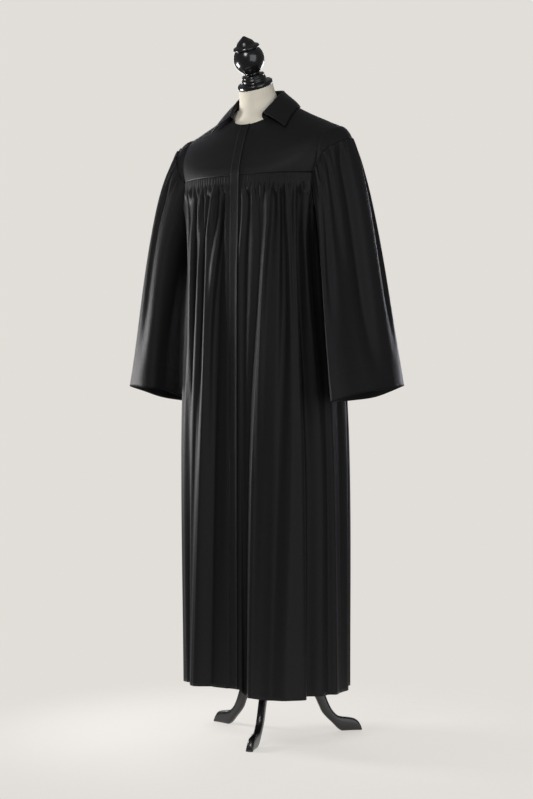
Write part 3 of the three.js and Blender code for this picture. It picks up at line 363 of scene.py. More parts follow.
# ---------- Meshes ----------
def put_mesh(name, points, faces, material, uv=None):
    """A mesh piece from points in millimetres and faces as one whole array of corners."""
    mesh = bpy.data.meshes.new(name)
    mesh.vertices.add(len(points))
    mesh.vertices.foreach_set("co", place(points).astype(np.float32).ravel())
    sizes = faces.shape[1]
    mesh.loops.add(faces.size)
    mesh.loops.foreach_set("vertex_index", faces.astype(np.int32).ravel())
    mesh.polygons.add(len(faces))
    mesh.polygons.foreach_set("loop_start", np.arange(0, faces.size, sizes, dtype=np.int32))
    mesh.update(calc_edges=True)
    mesh.polygons.foreach_set("use_smooth", np.ones(len(faces), dtype=bool))
    if uv is not None:
        layer = mesh.uv_layers.new(name="weave")
        layer.data.foreach_set("uv", uv.astype(np.float32).ravel())
    mesh.validate()
    mesh.materials.append(material)
    piece = bpy.data.objects.new(name, mesh)
    bpy.context.scene.collection.objects.link(piece)
    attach(piece, "root")
    return piece


def grid_faces(rows, columns, closed=False):
    """Four-cornered faces of a grid whose rows run down and columns to the wearer's left."""
    across = columns if closed else columns - 1
    i, j = np.meshgrid(np.arange(rows - 1), np.arange(across), indexing="ij")
    left, right = i * columns + j, i * columns + (j + 1) % columns
    return np.stack([left, left + columns, right + columns, right], axis=-1).reshape(-1, 4)


def cloth_uv(grid, closed=False):
    """Cloth coordinates in metres at every face corner: mean length along rows and down columns."""
    rows, columns = grid.shape[:2]
    ring = np.concatenate([grid, grid[:, :1]], axis=1) if closed else grid
    steps = np.linalg.norm(np.diff(ring, axis=1), axis=-1).mean(axis=0)
    u = np.concatenate([[0.0], np.cumsum(steps)]) / 1000
    drops = np.linalg.norm(np.diff(grid, axis=0), axis=-1).mean(axis=1)
    v = np.concatenate([[0.0], np.cumsum(drops)]) / 1000
    across = columns if closed else columns - 1
    i, j = np.meshgrid(np.arange(rows - 1), np.arange(across), indexing="ij")
    corners = [(i, j), (i + 1, j), (i + 1, j + 1), (i, j + 1)]
    return np.stack([np.stack([u[b], v[a]], axis=-1) for a, b in corners], axis=2).reshape(-1, 2)


def cloth_piece(name, grid, closed=False, thickness=CLOTH):
    """A cloth wall: the outer face is the grid, and its thickness grows inwards."""
    rows, columns = grid.shape[:2]
    faces = grid_faces(rows, columns, closed)
    piece = put_mesh(name, grid.reshape(-1, 3), faces, black_cloth, cloth_uv(grid, closed))
    wall = piece.modifiers.new("wall", "SOLIDIFY")
    wall.thickness = thickness / 1000
    wall.offset = -1.0
    wall.use_rim = True
    return piece


def skin_piece(name, rings, material):
    """A closed skin over rings that run down, its two ends closed by fans on middle points."""
    count, columns = rings.shape[:2]
    sides = grid_faces(count, columns, closed=True)
    middles = rings[[0, -1]].mean(axis=1)
    points = np.concatenate([rings.reshape(-1, 3), middles])
    top, bottom = count * columns, count * columns + 1
    here, after = np.arange(columns), (np.arange(columns) + 1) % columns
    last = (count - 1) * columns
    caps = np.concatenate([
        np.stack([np.full(columns, top), here, after], axis=-1),
        np.stack([np.full(columns, bottom), last + after, last + here], axis=-1),
    ])
    triangles = np.concatenate([sides[:, [0, 1, 2]], sides[:, [0, 2, 3]], caps])
    piece = put_mesh(name, points, triangles, material)
    return piece


# ---------- Materials ----------
TWILL_SLANT = 28             # degrees that the ribs of the weave run across the cloth
TWILL_PITCH, TWILL_DEPTH = 0.0007, 0.00012
# The two colours between which each finish wavers.
CLOTH_BLACKS = (0.0088, 0.0086, 0.0092), (0.0125, 0.0122, 0.0130)
THREAD_BLACKS = (0.010, 0.0098, 0.0105), (0.022, 0.021, 0.023)
CREAMS = (0.90, 0.825, 0.665), (0.95, 0.885, 0.735)
WOOD_BLACKS = (0.0045, 0.0043, 0.0043), (0.0085, 0.0080, 0.0078)


def new_material(name):
    """A material with its node tree and its main shader."""
    material = bpy.data.materials.new(name)
    material.use_nodes = True
    tree = material.node_tree
    return material, tree, tree.nodes["Principled BSDF"]


def node(tree, kind, **values):
    """A node of a kind, each value put on the socket or the setting that it names."""
    made = tree.nodes.new(kind)
    for key, value in values.items():
        if key in made.inputs:
            made.inputs[key].default_value = value
        else:
            setattr(made, key, value)
    return made


def object_noise(tree, **values):
    """Noise over the object's own coordinates."""
    where = node(tree, "ShaderNodeTexCoord")
    noise = node(tree, "ShaderNodeTexNoise", **values)
    tree.links.new(where.outputs["Object"], noise.inputs["Vector"])
    return noise


def ramp_into(socket, tree, factor, low_colour, high_colour, low=0.3, high=0.7):
    """Colour mixed straight from low_colour to high_colour as the factor goes from low to high."""
    made = tree.nodes.new("ShaderNodeValToRGB")
    made.color_ramp.elements[0].position = low
    made.color_ramp.elements[1].position = high
    made.color_ramp.elements[0].color = (*low_colour, 1)
    made.color_ramp.elements[1].color = (*high_colour, 1)
    tree.links.new(factor, made.inputs["Fac"])
    tree.links.new(made.outputs["Color"], socket)


def relief(tree, height, strength, distance, over=None):
    """Bump from a height pattern, added to the bump that it lies over."""
    made = node(tree, "ShaderNodeBump", Strength=strength, Distance=distance)
    tree.links.new(height, made.inputs["Height"])
    if over is not None:
        tree.links.new(over.outputs["Normal"], made.inputs["Normal"])
    return made


def weave_bump(tree, shader, pitch, depth, soft_scale, soft_depth):
    """Twill ribs across the cloth's own coordinates, over a soft unevenness of the cloth."""
    cloth = node(tree, "ShaderNodeUVMap", uv_map="weave")
    slanted = node(tree, "ShaderNodeMapping", Rotation=(0, 0, np.radians(TWILL_SLANT)))
    tree.links.new(cloth.outputs["UV"], slanted.inputs["Vector"])
    ribs = node(tree, "ShaderNodeTexWave", Scale=0.314 / pitch, Distortion=0.6, Detail=1.0)
    tree.links.new(slanted.outputs["Vector"], ribs.inputs["Vector"])
    fine = relief(tree, ribs.outputs["Fac"], 0.5, depth)
    cloud = object_noise(tree, Scale=soft_scale, Detail=4.0, Roughness=0.6)
    soft = relief(tree, cloud.outputs["Fac"], 0.6, soft_depth, over=fine)
    tree.links.new(soft.outputs["Normal"], shader.inputs["Normal"])
    return cloud


black_cloth, _tree, _shader = new_material("black_cloth")
_shader.inputs["Sheen Weight"].default_value = 0.10
_shader.inputs["Sheen Roughness"].default_value = 0.32
_shader.inputs["Sheen Tint"].default_value = (0.80, 0.76, 0.84, 1)
_shader.inputs["Specular IOR Level"].default_value = 0.18
_cloud = weave_bump(_tree, _shader, TWILL_PITCH, TWILL_DEPTH, 260.0, 0.0004).outputs["Fac"]
ramp_into(_shader.inputs["Base Color"], _tree, _cloud, *CLOTH_BLACKS)
ramp_into(_shader.inputs["Roughness"], _tree, _cloud, (0.47,) * 3, (0.55,) * 3)

thread, _tree, _shader = new_material("black_thread")
_twist = object_noise(_tree, Scale=1500.0)
ramp_into(_shader.inputs["Base Color"], _tree, _twist.outputs["Fac"], *THREAD_BLACKS)
_shader.inputs["Roughness"].default_value = 0.45

cream_cloth, _tree, _shader = new_material("cream_cloth")
_shader.inputs["Sheen Weight"].default_value = 0.1
_shader.inputs["Roughness"].default_value = 0.85
_place = node(_tree, "ShaderNodeTexCoord")
_knit = node(_tree, "ShaderNodeTexVoronoi", Scale=1300.0)
_tree.links.new(_place.outputs["Object"], _knit.inputs["Vector"])
_knit_relief = relief(_tree, _knit.outputs["Distance"], 0.35, 0.0003)
_tree.links.new(_knit_relief.outputs["Normal"], _shader.inputs["Normal"])
_cloud = object_noise(_tree, Scale=40.0, Detail=6.0)
ramp_into(_shader.inputs["Base Color"], _tree, _cloud.outputs["Fac"], *CREAMS)


def black_wood(name, roughness, coat):
    """Black lacquered wood: faint grain in the colour and the gloss, under a clear coat."""
    material, tree, shader = new_material(name)
    where = node(tree, "ShaderNodeTexCoord")
    stretched = node(tree, "ShaderNodeMapping", Scale=(1, 1, 0.12))
    tree.links.new(where.outputs["Object"], stretched.inputs["Vector"])
    grain = node(tree, "ShaderNodeTexNoise", Scale=420.0, Detail=5.0, Roughness=0.6)
    tree.links.new(stretched.outputs["Vector"], grain.inputs["Vector"])
    lines = grain.outputs["Fac"]
    ramp_into(shader.inputs["Base Color"], tree, lines, *WOOD_BLACKS, high=0.75)
    dull = roughness + 0.07
    ramp_into(shader.inputs["Roughness"], tree, lines, (roughness,) * 3, (dull,) * 3, high=0.75)
    pores = relief(tree, lines, 0.05, 0.0002)
    tree.links.new(pores.outputs["Normal"], shader.inputs["Normal"])
    shader.inputs["Coat Weight"].default_value = coat
    shader.inputs["Coat Roughness"].default_value = 0.10
    return material


gloss_wood = black_wood("black_wood_gloss", 0.20, 0.6)
satin_wood = black_wood("black_wood_satin", 0.28, 0.3)


# ---------- Figure ----------
STATIONS = np.arange(len(FIGURE), dtype=float)


def figure(station, degrees):
    """Point of the figure at a station, some degrees round from the front to the wearer's left.

    Front, side and back values blend by the bent cosine of the angle, and the half width is
    scaled by the bent sine, where bent means raised to two over the outline's power.
    """
    station, degrees = np.broadcast_arrays(np.asarray(station, float), np.asarray(degrees, float))
    ring = curve(STATIONS, FIGURE, station[..., None])
    z_front, z_side, z_back, y_front, y_side, y_back, half, power = np.moveaxis(ring, -1, 0)
    sine, cosine = np.sin(np.radians(degrees)), np.cos(np.radians(degrees))
    forward = np.sign(cosine) * np.abs(cosine) ** (2 / power)
    sideways = np.sign(sine) * np.abs(sine) ** (2 / power)

    def blend(front, side, back):
        """Parabola over the bent cosine through the values at front, side and back."""
        return side + forward * (front - back) / 2 + forward**2 * ((front + back) / 2 - side)

    depth, height = blend(y_front, y_side, y_back), blend(z_front, z_side, z_back)
    return np.stack([half * sideways, depth, height], axis=-1)


def figure_normal(station, degrees):
    """Outward direction of the figure: down the figure crossed with round it."""
    down = figure(station + 0.05, degrees) - figure(station - 0.05, degrees)
    along = figure(station, degrees + 1) - figure(station, degrees - 1)
    return unit(np.cross(down, along))


def over_figure(station, degrees, height):
    """Point that stands a height over the figure, along its outward direction."""
    height = np.asarray(height, float)
    return figure(station, degrees) + figure_normal(station, degrees) * height[..., None]


# ---------- Yoke ----------
def yoke_outer(station, degrees):
    """Outer face of the yoke: over the figure by the cloth and a rest eased in below the neck."""
    rest = lerp(NECK_REST, YOKE_REST, ease(np.asarray(station) - NECKLINE))
    return over_figure(station, degrees, rest + CLOTH)


def station_at_height(degrees, z):
    """Station at which the yoke's outer face is at height z, by halving an interval."""
    low, high = np.full(np.shape(degrees), 5.0), np.full(np.shape(degrees), 9.0)
    for _ in range(30):
        middle = (low + high) / 2
        above = yoke_outer(middle, degrees)[..., 2] > z
        low, high = np.where(above, middle, low), np.where(above, high, middle)
    return (low + high) / 2


def edge_net(table, k):
    """Station and degrees on a table of edge points, k steps and a part of a step along it."""
    steps = np.arange(len(table))
    stations, degrees = np.array(table).T
    return np.interp(k, steps, stations), np.interp(k, steps, degrees)


FRONT_CORNER = (float(station_at_height(np.array(FRONT_SEAM[1]), YOKE_SEAM_Z)), FRONT_SEAM[1])
_back_degrees = BACK_ARMHOLE[-1][1]
BACK_CORNER = (float(station_at_height(np.array(_back_degrees), BACK_SEAM_Z)), _back_degrees)
FRONT_EDGE = [FRONT_CORNER, *FRONT_ARMHOLE]
BACK_EDGE = [*BACK_ARMHOLE[:-1], BACK_CORNER]
ARM_STEPS = len(FRONT_EDGE) - 1      # steps along either armhole edge
SEAM_SHARE = 8 / 13          # share of the front's neckline whose lines end on the seam
ARM_SHARE = 5 / 12           # share of the back's neckline whose lines end on the armhole


def front_yoke(rows, seam_columns, arm_columns):
    """Left front yoke: straight lines on the figure's net from the neckline to seam and armhole.

    The first columns stay a fixed distance from the centre front, under the placket.
    """
    part = np.linspace(0, 1, rows)[:, None]
    seam_degrees = np.linspace(*FRONT_SEAM, seam_columns, endpoint=False)
    seam_stations = station_at_height(seam_degrees, YOKE_SEAM_Z)
    arm_stations, arm_degrees = edge_net(FRONT_EDGE, np.linspace(0, ARM_STEPS, arm_columns))
    share = np.concatenate([
        np.linspace(0, SEAM_SHARE, seam_columns, endpoint=False),
        np.linspace(SEAM_SHARE, 1, arm_columns),
    ])
    end_station = np.concatenate([seam_stations, arm_stations])
    end_degrees = np.concatenate([seam_degrees, arm_degrees])
    neck = lerp(*FRONT_NECK, share)
    net = yoke_outer(lerp(NECKLINE, end_station, part), lerp(neck, end_degrees, part))
    x = np.linspace(SEAM / 2, PLACKET_HALF, PLUMB_COLUMNS)
    station = lerp(NECKLINE, float(station_at_height(np.array(0.0), YOKE_SEAM_Z)), part)
    ring = curve(STATIONS, FIGURE[:, 6:], station[..., None])
    half, power = ring[..., 0], ring[..., 1]
    plumb = yoke_outer(station + 0 * x, np.degrees(np.arcsin((x / half) ** (power / 2))))
    plumb[-1, :, 2] = YOKE_SEAM_Z
    return np.concatenate([plumb, net], axis=1)


def back_yoke(rows, arm_columns, seam_columns):
    """Back yoke: straight lines on the figure's net from the neckline to armhole and seam.

    The left half is worked out and mirrored, and both share the column at the centre back.
    """
    part = np.linspace(0, 1, rows)[:, None]
    arm_k = np.linspace(0, ARM_STEPS, arm_columns, endpoint=False)
    arm_stations, arm_degrees = edge_net(BACK_EDGE, arm_k)
    seam_degrees = np.linspace(BACK_CORNER[1], 180, seam_columns)
    seam_stations = station_at_height(seam_degrees, BACK_SEAM_Z)
    share = np.concatenate([
        np.linspace(0, ARM_SHARE, arm_columns, endpoint=False),
        np.linspace(ARM_SHARE, 1, seam_columns),
    ])
    end_station = np.concatenate([arm_stations, seam_stations])
    end_degrees = np.concatenate([arm_degrees, seam_degrees])
    left = yoke_outer(
        lerp(NECKLINE, end_station, part), lerp(lerp(90.0, 180.0, share), end_degrees, part)
    )
    return np.concatenate([left, mirrored(left)[:, 1:]], axis=1)


# ---------- Skirt ----------
# Yoke seams as lines of points, up to the corners where the armholes start.
SEAM_POINTS, ARM_POINTS = 60, 5
FRONT_TOP = front_yoke(3, SEAM_POINTS, ARM_POINTS)[-1, :PLUMB_COLUMNS + SEAM_POINTS + 1]
_back = back_yoke(3, ARM_POINTS, 80)[-1]
BACK_TOP = _back[ARM_POINTS - 1:1 - ARM_POINTS]
FRONT_CORNER_POINT = FRONT_TOP[-1]
BACK_CORNER_POINT = _back[ARM_POINTS]


def lower_armhole(corner, arm):
    """Quarter oval from the seam's end to the underarm: cosine in depth, sine in height."""
    turn = arm * np.pi / 2
    return np.stack([
        lerp(corner[0], UNDERARM_X, arm),
        corner[1] * np.cos(turn),
        lerp(corner[2] - HAIR, UNDERARM_Z, np.sin(turn)),
    ], axis=-1)


def panel_top(q, edge, corner, seam_z):
    """Point of a panel's top edge: on the yoke seam at x = q, past the corner down the armhole."""
    order = np.argsort(edge[:, 0])
    depth = np.interp(q, edge[order, 0], edge[order, 1])
    on_seam = np.stack([q, depth, np.full(q.shape, seam_z - HAIR)], axis=-1)
    on_arm = lower_armhole(corner, np.clip((np.abs(q) - corner[0]) / ARM_SPAN, 0, 1))
    on_arm[..., 0] *= np.sign(q)
    return np.where((np.abs(q) <= corner[0])[..., None], on_seam, on_arm)


def fold_tables(folds, corner):
    """Fold lines as arrays: place on the top edge, degrees and radii high, mid and at the hem."""
    def top(entry):
        """Place from the centre, or past the corner for an entry that lies on the armhole."""
        if not isinstance(entry, tuple):
            return float(entry)
        place_on_edge = corner[0] + ARM_SPAN * entry[1]
        return -place_on_edge if entry[0] == "flip" else place_on_edge

    def polar(entry):
        """Degrees and radius, worked out from x and radius where x is given."""
        if entry[0] == "x":
            return np.degrees(np.arcsin(entry[1] / entry[2])), entry[2]
        return entry

    tops = np.array([top(line[0]) for line in folds])
    net = np.array([[polar(entry) for entry in line[1:]] for line in folds], float)
    return tops, net[..., 0], net[..., 1]


def spread_columns(tops, degrees, radii, count):
    """Columns spread over the fold lines, closer where the lines lie closer on the garment.

    The column nearest to each fold line is moved onto it, so that corners stay sharp.
    """
    gaps = np.abs(np.diff(tops)) + np.abs(np.diff(np.radians(degrees[:, 1]) * radii[:, 1]))
    along = np.concatenate([[0.0], np.cumsum(gaps)])
    spread = np.interp(np.linspace(0, along[-1], count), along, np.arange(len(tops)))
    lines = np.arange(len(tops))
    spread[np.abs(spread[:, None] - lines).argmin(axis=0)] = lines
    return spread


def tucks(q, drop, seed, width):
    """How far gathers stand proud of the panel, q along the seam and drop below it.

    Fine pleats down to the gathering stitches, then uneven tucks twice as wide that soon run out,
    on a low swell where the cloth is let go.
    """
    drift = waves(q, seed, 3, 110, 45)
    pleats = 0.5 + 0.5 * np.cos(4 * np.pi * q / width + 2.0 * drift)
    tuck = 0.5 + 0.5 * np.cos(2 * np.pi * q / width + drift)
    depth = 0.8 + 0.3 * waves(q, seed + 2, 3, 80, 29)
    end = 62 + 22 * waves(q, seed + 3, 2, 90, 43)
    in_band = ease((drop + 4) / 8) * (1 - ease((drop - BAND_DROP) / 10))
    below = ease((drop - BAND_DROP + 12) / 16) * (1 - ease((drop - 34) / (end - 34)))
    let_go = ease((drop - BAND_DROP) / 20) * (1 - ease((drop - 60) / 170))
    return (
        PLEAT_HEIGHT * pleats * in_band + TUCK_HEIGHT * tuck**0.8 * depth * below
        + SWELL_HEIGHT * let_go
    )


def hung_folds(q, drop, lines):
    """How far the long folds stand proud.

    The height runs as half a cosine wave from each line to the next, summed step by step, and
    down the panel a line's place and height follow smooth curves. It grows from the gathers.
    """
    down = np.clip(drop, FOLD_DROPS[0], FOLD_DROPS[-1])
    places = [curve(FOLD_DROPS, line[0], down) for line in lines]
    heights = [curve(FOLD_DROPS, line[1], down) for line in lines]
    proud = heights[0]
    for k in range(len(lines) - 1):
        share = np.clip((q - places[k]) / np.maximum(places[k + 1] - places[k], 1.0), 0, 1)
        proud = proud + (heights[k + 1] - heights[k]) * (1 - np.cos(np.pi * share)) / 2
    return proud * ease((drop - BAND_DROP) / 22)


def even_lines(first, last, count, seed):
    """Crests and troughs by turns, near even places on the seam, of uneven height, fading down."""
    draw = np.random.default_rng(seed)
    shift = draw.uniform(-3, 3, (count, 1)) + draw.uniform(-5, 5, (count, 1)) * np.linspace(0, 1, 7)
    height = np.where(np.arange(count) % 2, -4.5, 4.0)[:, None] * draw.uniform(0.6, 1.2, (count, 1))
    height[[0, -1]] = 0
    fade = np.array([1, 1, 0.9, 0.8, 0.6, 0.3, 0])
    return np.stack([np.linspace(first, last, count)[:, None] + shift, height * fade], axis=1)


def skirt_panel(
    folds, lines, edge, corner, seam_z, lift_fade, count, rows, seed, width, flush=False
):
    """Outer face of a skirt panel.

    Angle runs straight and radius runs as half a cosine wave from one fold line to the next. Down
    a column both follow a smooth curve through their values at hem, middle, high line and seam.
    Gathers and slow ripples are then added along the outward direction.
    """
    tops, degrees, radii = fold_tables(folds, corner)
    s = spread_columns(tops, degrees, radii, count)
    k = np.clip(np.floor(s).astype(int), 0, len(tops) - 2)
    t = s - k
    soft = (1 - np.cos(np.pi * t)) / 2
    q = lerp(tops[k], tops[k + 1], t)
    column_degrees = lerp(degrees[k], degrees[k + 1], t[:, None])
    column_radii = lerp(radii[k], radii[k + 1], soft[:, None])
    start = panel_top(q, edge, corner, seam_z)
    start_degrees = np.degrees(np.arctan2(start[:, 0], -start[:, 1]))
    start_degrees = np.where(start_degrees < -1, start_degrees + 360, start_degrees)
    hem = np.full(count, HEM_Z)
    if lift_fade:
        first, last = lift_fade
        hem = HEM_Z + HEM_LIFT * (1 - ease((column_degrees[:, 2] - first) / (last - first)))
    part = np.linspace(0, 1, rows)[:, None] ** SKIRT_CROWDING
    z = lerp(start[:, 2], hem, part)
    knots = [hem, np.full(count, MID_Z), np.full(count, HIGH_Z), start[:, 2]]
    turn = np.radians(curve(knots, [*column_degrees.T[::-1], start_degrees], z))
    radius = curve(knots, [*column_radii.T[::-1], np.hypot(start[:, 0], start[:, 1])], z)
    base = np.stack([radius * np.sin(turn), -radius * np.cos(turn), z], axis=-1)
    drop = start[:, 2] - z
    inside = ease((corner[0] + 30 - np.abs(q)) / 10)
    if lift_fade:
        inside = inside * ease((np.abs(q) - 16) / 8)
    ripple = 0.7 * waves(q + 0.02 * z, seed + 7, 3, 75, 38)
    ripple = ripple * ease(drop / 300) * ease((np.abs(q) - 14) / 20)
    proud = tucks(q + 0 * z, drop, seed, width) * inside + ripple
    proud = proud + hung_folds(q + 0 * z, drop, lines)
    if lift_fade and flush:
        proud = proud + (PLACKET_CLOTH + LAY) * ease((q - PLACKET_HALF + 0.2) / 1.2)
    outer = base + grid_normals(base) * proud[..., None]
    if lift_fade:
        outer[:, 0, 0] = SEAM / 2
    return outer


def front_panel(folds, lines, lift_fade, seed, width, flush):
    """A front of the skirt, hung from the front yoke's seam and armhole."""
    return skirt_panel(
        folds, lines, FRONT_TOP, FRONT_CORNER_POINT, YOKE_SEAM_Z, lift_fade,
        count=236, rows=190, seed=seed, width=width, flush=flush,
    )


# ---------- Sleeves ----------
HEAD_TUCKS, HEAD_FOLDS = 24, 9       # fine tucks over the sleeve head, and what they run into
HEAD_TUCK_HEIGHT, HEAD_FOLD_HEIGHT = 4.2, 2.8
HEAD_SHARE = 0.68            # share of a sleeve's columns over the upper half of the armhole


def armhole(u):
    """Armhole as a closed line: front yoke edge, back yoke edge, then the two lower quarters."""
    turn = np.mod(u, 1.0) * 4
    front = yoke_outer(*edge_net(FRONT_EDGE, turn * ARM_STEPS))
    back = yoke_outer(*edge_net(BACK_EDGE, (turn - 1) * ARM_STEPS))
    under_back = lower_armhole(BACK_CORNER_POINT, np.clip(turn - 2, 0, 1))
    under_front = lower_armhole(FRONT_CORNER_POINT, np.clip(4 - turn, 0, 1))
    which = np.floor(turn)[..., None]
    return np.select([which < 1, which < 2, which < 3], [front, back, under_back], under_front)


def sleeve_tables(lines):
    """The lines as knots and values for curve(), carried one turn before and after."""
    u = np.array([line[0] for line in lines], float)
    values = np.array([line[1:] for line in lines], float).reshape(len(lines), 9)
    return np.concatenate([u - 1, u, u + 1]), np.concatenate([values] * 3)


def sleeve_path(tables, u, part):
    """Cubic from the armhole to the cuff, with its leaving and arriving directions eased round."""
    u, part = np.asarray(u, float), np.asarray(part, float)
    around = curve(*tables, u[..., None])
    leave, cuff, arrive = around[..., 0:3], around[..., 3:6], around[..., 6:9]
    start = armhole(u) + np.array([HAIR, 0, 0])
    t = part[..., None]
    return (
        start * (2 * t**3 - 3 * t**2 + 1) + leave * (t**3 - 2 * t**2 + t)
        + cuff * (3 * t**2 - 2 * t**3) + arrive * (t**3 - t**2)
    )


def sleeve_outward(tables, u, part):
    """Outward direction of a sleeve: down its path crossed with round it."""
    down = sleeve_path(tables, u, part + 0.01) - sleeve_path(tables, u, np.maximum(0, part - 0.01))
    along = sleeve_path(tables, u + 0.014, part) - sleeve_path(tables, u - 0.014, part)
    return unit(np.cross(down, along))


def leave_length(tables, u):
    """Length of the leaving direction, which turns millimetres at the armhole into a part."""
    return np.linalg.norm(curve(*tables, np.asarray(u, float)[..., None])[..., 0:3], axis=-1)


def band_part(tables, u):
    """Part of the sleeve's length that the head band covers: a crescent over the upper half."""
    over = np.clip(np.sin(2 * np.pi * u), 0, 1) ** 0.6 * (u < 0.5)
    return BAND_WIDTH * over / leave_length(tables, u)


def hollow_depth(hollows, u, part):
    """Bell-shaped hollows across the sleeve, eased in and out along it."""
    depth = 0.0
    for where, wide, deep, start, end in hollows:
        across = np.exp(-(((u - where) / wide) ** 2))
        down = ease((part - start) / 0.15) * (1 - ease((part - end + 0.25) / 0.3))
        depth = depth + deep * across * down
    return depth


def sleeve_gathers(u, part, seed):
    """Uneven tucks over the sleeve head that run together into wider ones and die out."""
    span = u * 2
    head = ease(span / 0.05) * (1 - ease((span - 0.95) / 0.05)) * (u < 0.5)
    drift = waves(span, seed, 3, 0.5, 0.16)
    first = (0.5 + 0.5 * np.cos(2 * np.pi * HEAD_TUCKS * span + 1.6 * drift)) ** 1.2
    second = (0.5 + 0.5 * np.cos(2 * np.pi * HEAD_FOLDS * span + 1.5 * drift + 0.8)) ** 1.3
    strength = 0.75 + 0.35 * waves(span, seed + 1, 3, 0.4, 0.09)
    reach = 0.2 + 0.14 * waves(span, seed + 2, 3, 0.35, 0.1)
    near = (0.4 + 0.6 * ease(part / 0.03)) * (1 - ease((part - 0.03) / np.maximum(reach, 0.1)))
    far = ease(part / 0.12) * (1 - ease((part - 0.15) / 0.33))
    return head * (HEAD_TUCK_HEIGHT * strength * first * near + HEAD_FOLD_HEIGHT * second * far)


def sleeve_grids(lines, hollows, seed, columns, rows):
    """Outer faces of a sleeve and of its head band."""
    tables = sleeve_tables(lines)
    upper = int(columns * HEAD_SHARE)
    u = np.concatenate([
        np.linspace(0, 0.5, upper, endpoint=False),
        np.linspace(0.5, 1, columns - upper, endpoint=False),
    ])
    part = np.linspace(0, 1, rows)[:, None] ** SLEEVE_CROWDING
    band = band_part(tables, u)
    top = np.where(band > 0, band + HAIR / leave_length(tables, u), 0.0)
    along = lerp(top, 1.0, part)
    ripple = 0.6 * waves(u * 4 + 0.15 * along, seed + 5, 3, 0.9, 0.35) * ease(along / 0.3)
    gathers = sleeve_gathers(u + 0 * part, along, seed) * ease((along - top) / 0.0025)
    height = gathers + ripple - hollow_depth(hollows, u, along)
    sleeve = sleeve_path(tables, u, along) + sleeve_outward(tables, u, along) * height[..., None]
    band_u = np.linspace(0, 0.5, 121)[1:-1]
    across = np.linspace(0, 1, 15)[:, None] * band_part(tables, band_u)
    puff = 0.9 * np.sin(np.linspace(0, np.pi, 15))[:, None] + 0 * band_u
    out = sleeve_outward(tables, band_u, across)
    return sleeve, sleeve_path(tables, band_u, across) + out * puff[..., None]


# ---------- Collar ----------
def collar_grid(steps, rows):
    """Collar from its left front end round the neck to the right one.

    Each section is a smooth curve up the stand, over the roll and down the fall to the edge.
    """
    at = np.linspace(0, 1, steps)
    ats = np.array([row[0] for row in COLLAR], float)
    plain = np.array([[row[1], *row[2], row[3], row[4], row[5]] for row in COLLAR], float)
    values = curve(ats, plain, at[:, None])
    base_degrees, roll = values[:, 0], values[:, 1:4]
    station, edge_degrees, lift = values[:, 4], values[:, 5], values[:, 6]
    middle_of_cloth = np.full(steps, NECK_REST + CLOTH / 2)
    base = over_figure(np.full(steps, NECKLINE), base_degrees, middle_of_cloth)
    up = unit(figure(NECKLINE - 0.1, base_degrees) - figure(NECKLINE + 0.1, base_degrees))
    foot = base + up * SEAM
    edge = over_figure(station, edge_degrees, lift)
    out = unit((edge - foot) * np.array([1, 1, 0]))
    stand_top, fall_top = roll - out * ROLL_RADIUS, roll + out * ROLL_RADIUS
    section = np.stack([
        foot,
        lerp(foot, stand_top, 0.55) - 2 * out,
        stand_top,
        roll + np.array([0, 0, ROLL_RADIUS]),
        fall_top,
        lerp(fall_top, edge, 0.35) + 3 * out,
        lerp(fall_top, edge, 0.7) + 3 * out,
        edge,
    ])
    knots = np.array([0, 0.55, 1, 1.3, 1.6, 2.1, 2.6, 3.0])
    half = curve(knots, section, np.linspace(0, 3, rows)[:, None, None])
    whole = np.concatenate([half, mirrored(half)[:, 1:]], axis=1)
    return whole + grid_normals(whole) * (CLOTH / 2)


# ---------- Placket ----------
NEAR_FRONT = 20              # columns of yoke and panel that surely reach past the placket


def placket_grid(left, right, yoke):
    """Strip laid over the first columns of both fronts, its free edge a little lifted."""
    def strip(front, x):
        """The strip over one front: down the yoke, then down the panel."""
        def at_width(grid):
            """Each row of the grid read straight between its points at the strip's own x."""
            y = np.array([np.interp(x, row[:, 0], row[:, 1]) for row in grid])
            z = np.array([np.interp(x, row[:, 0], row[:, 2]) for row in grid])
            return np.stack([np.broadcast_to(x, y.shape), y, z], axis=-1)

        return np.concatenate([at_width(yoke[:, :NEAR_FRONT]), at_width(front[1:, :NEAR_FRONT])])

    x = np.linspace(SEAM / 2, PLACKET_HALF, PLUMB_COLUMNS)
    left_rows, right_rows = strip(left, x), mirrored(strip(right, x))
    base = np.concatenate([right_rows, left_rows], axis=1)
    height = PLACKET_CLOTH + LAY + 1.5 * ease((base[..., 0] - 7) / 5)
    return base + grid_normals(base) * height[..., None]


# ---------- Form and stand ----------
def form_rings(columns, rows):
    """The figure itself above the neckline, and drawn in under the yoke and the robe."""
    station = np.linspace(0, len(FIGURE) - 1, rows)[:, None]
    degrees = np.linspace(0, 360, columns, endpoint=False)
    last = len(FIGURE) - 1
    inset = FORM_INSET * ease(station - NECKLINE) * (1 - ease((station - last + 0.6) / 0.6))
    inner = np.clip(station, 0.06, last - 0.06) + 0 * degrees
    return figure(station, degrees) - figure_normal(inner, degrees + 0 * station) * inset[..., None]


def turned(profile, segments, corner=1.2, steps=4):
    """Rings of a turned profile whose corners are rounded by short cuts of the given length."""
    points = np.array(profile, float)
    rounded = [points[0]]
    for before, here, after in zip(points[:-2], points[1:-1], points[2:]):
        back, ahead = before - here, after - here
        reach = min(corner, np.linalg.norm(back) / 2.5, np.linalg.norm(ahead) / 2.5)
        a, b = here + unit(back) * reach, here + unit(ahead) * reach
        t = np.linspace(0, 1, steps)[:, None]
        rounded.extend((1 - t) ** 2 * a + 2 * t * (1 - t) * here + t**2 * b)
    rounded.append(points[-1])
    radius, height = np.array(rounded).T
    turn = np.linspace(0, 2 * np.pi, segments, endpoint=False)
    return np.stack([
        radius[:, None] * np.sin(turn), -radius[:, None] * np.cos(turn), height[:, None] + 0 * turn,
    ], axis=-1)[::-1]


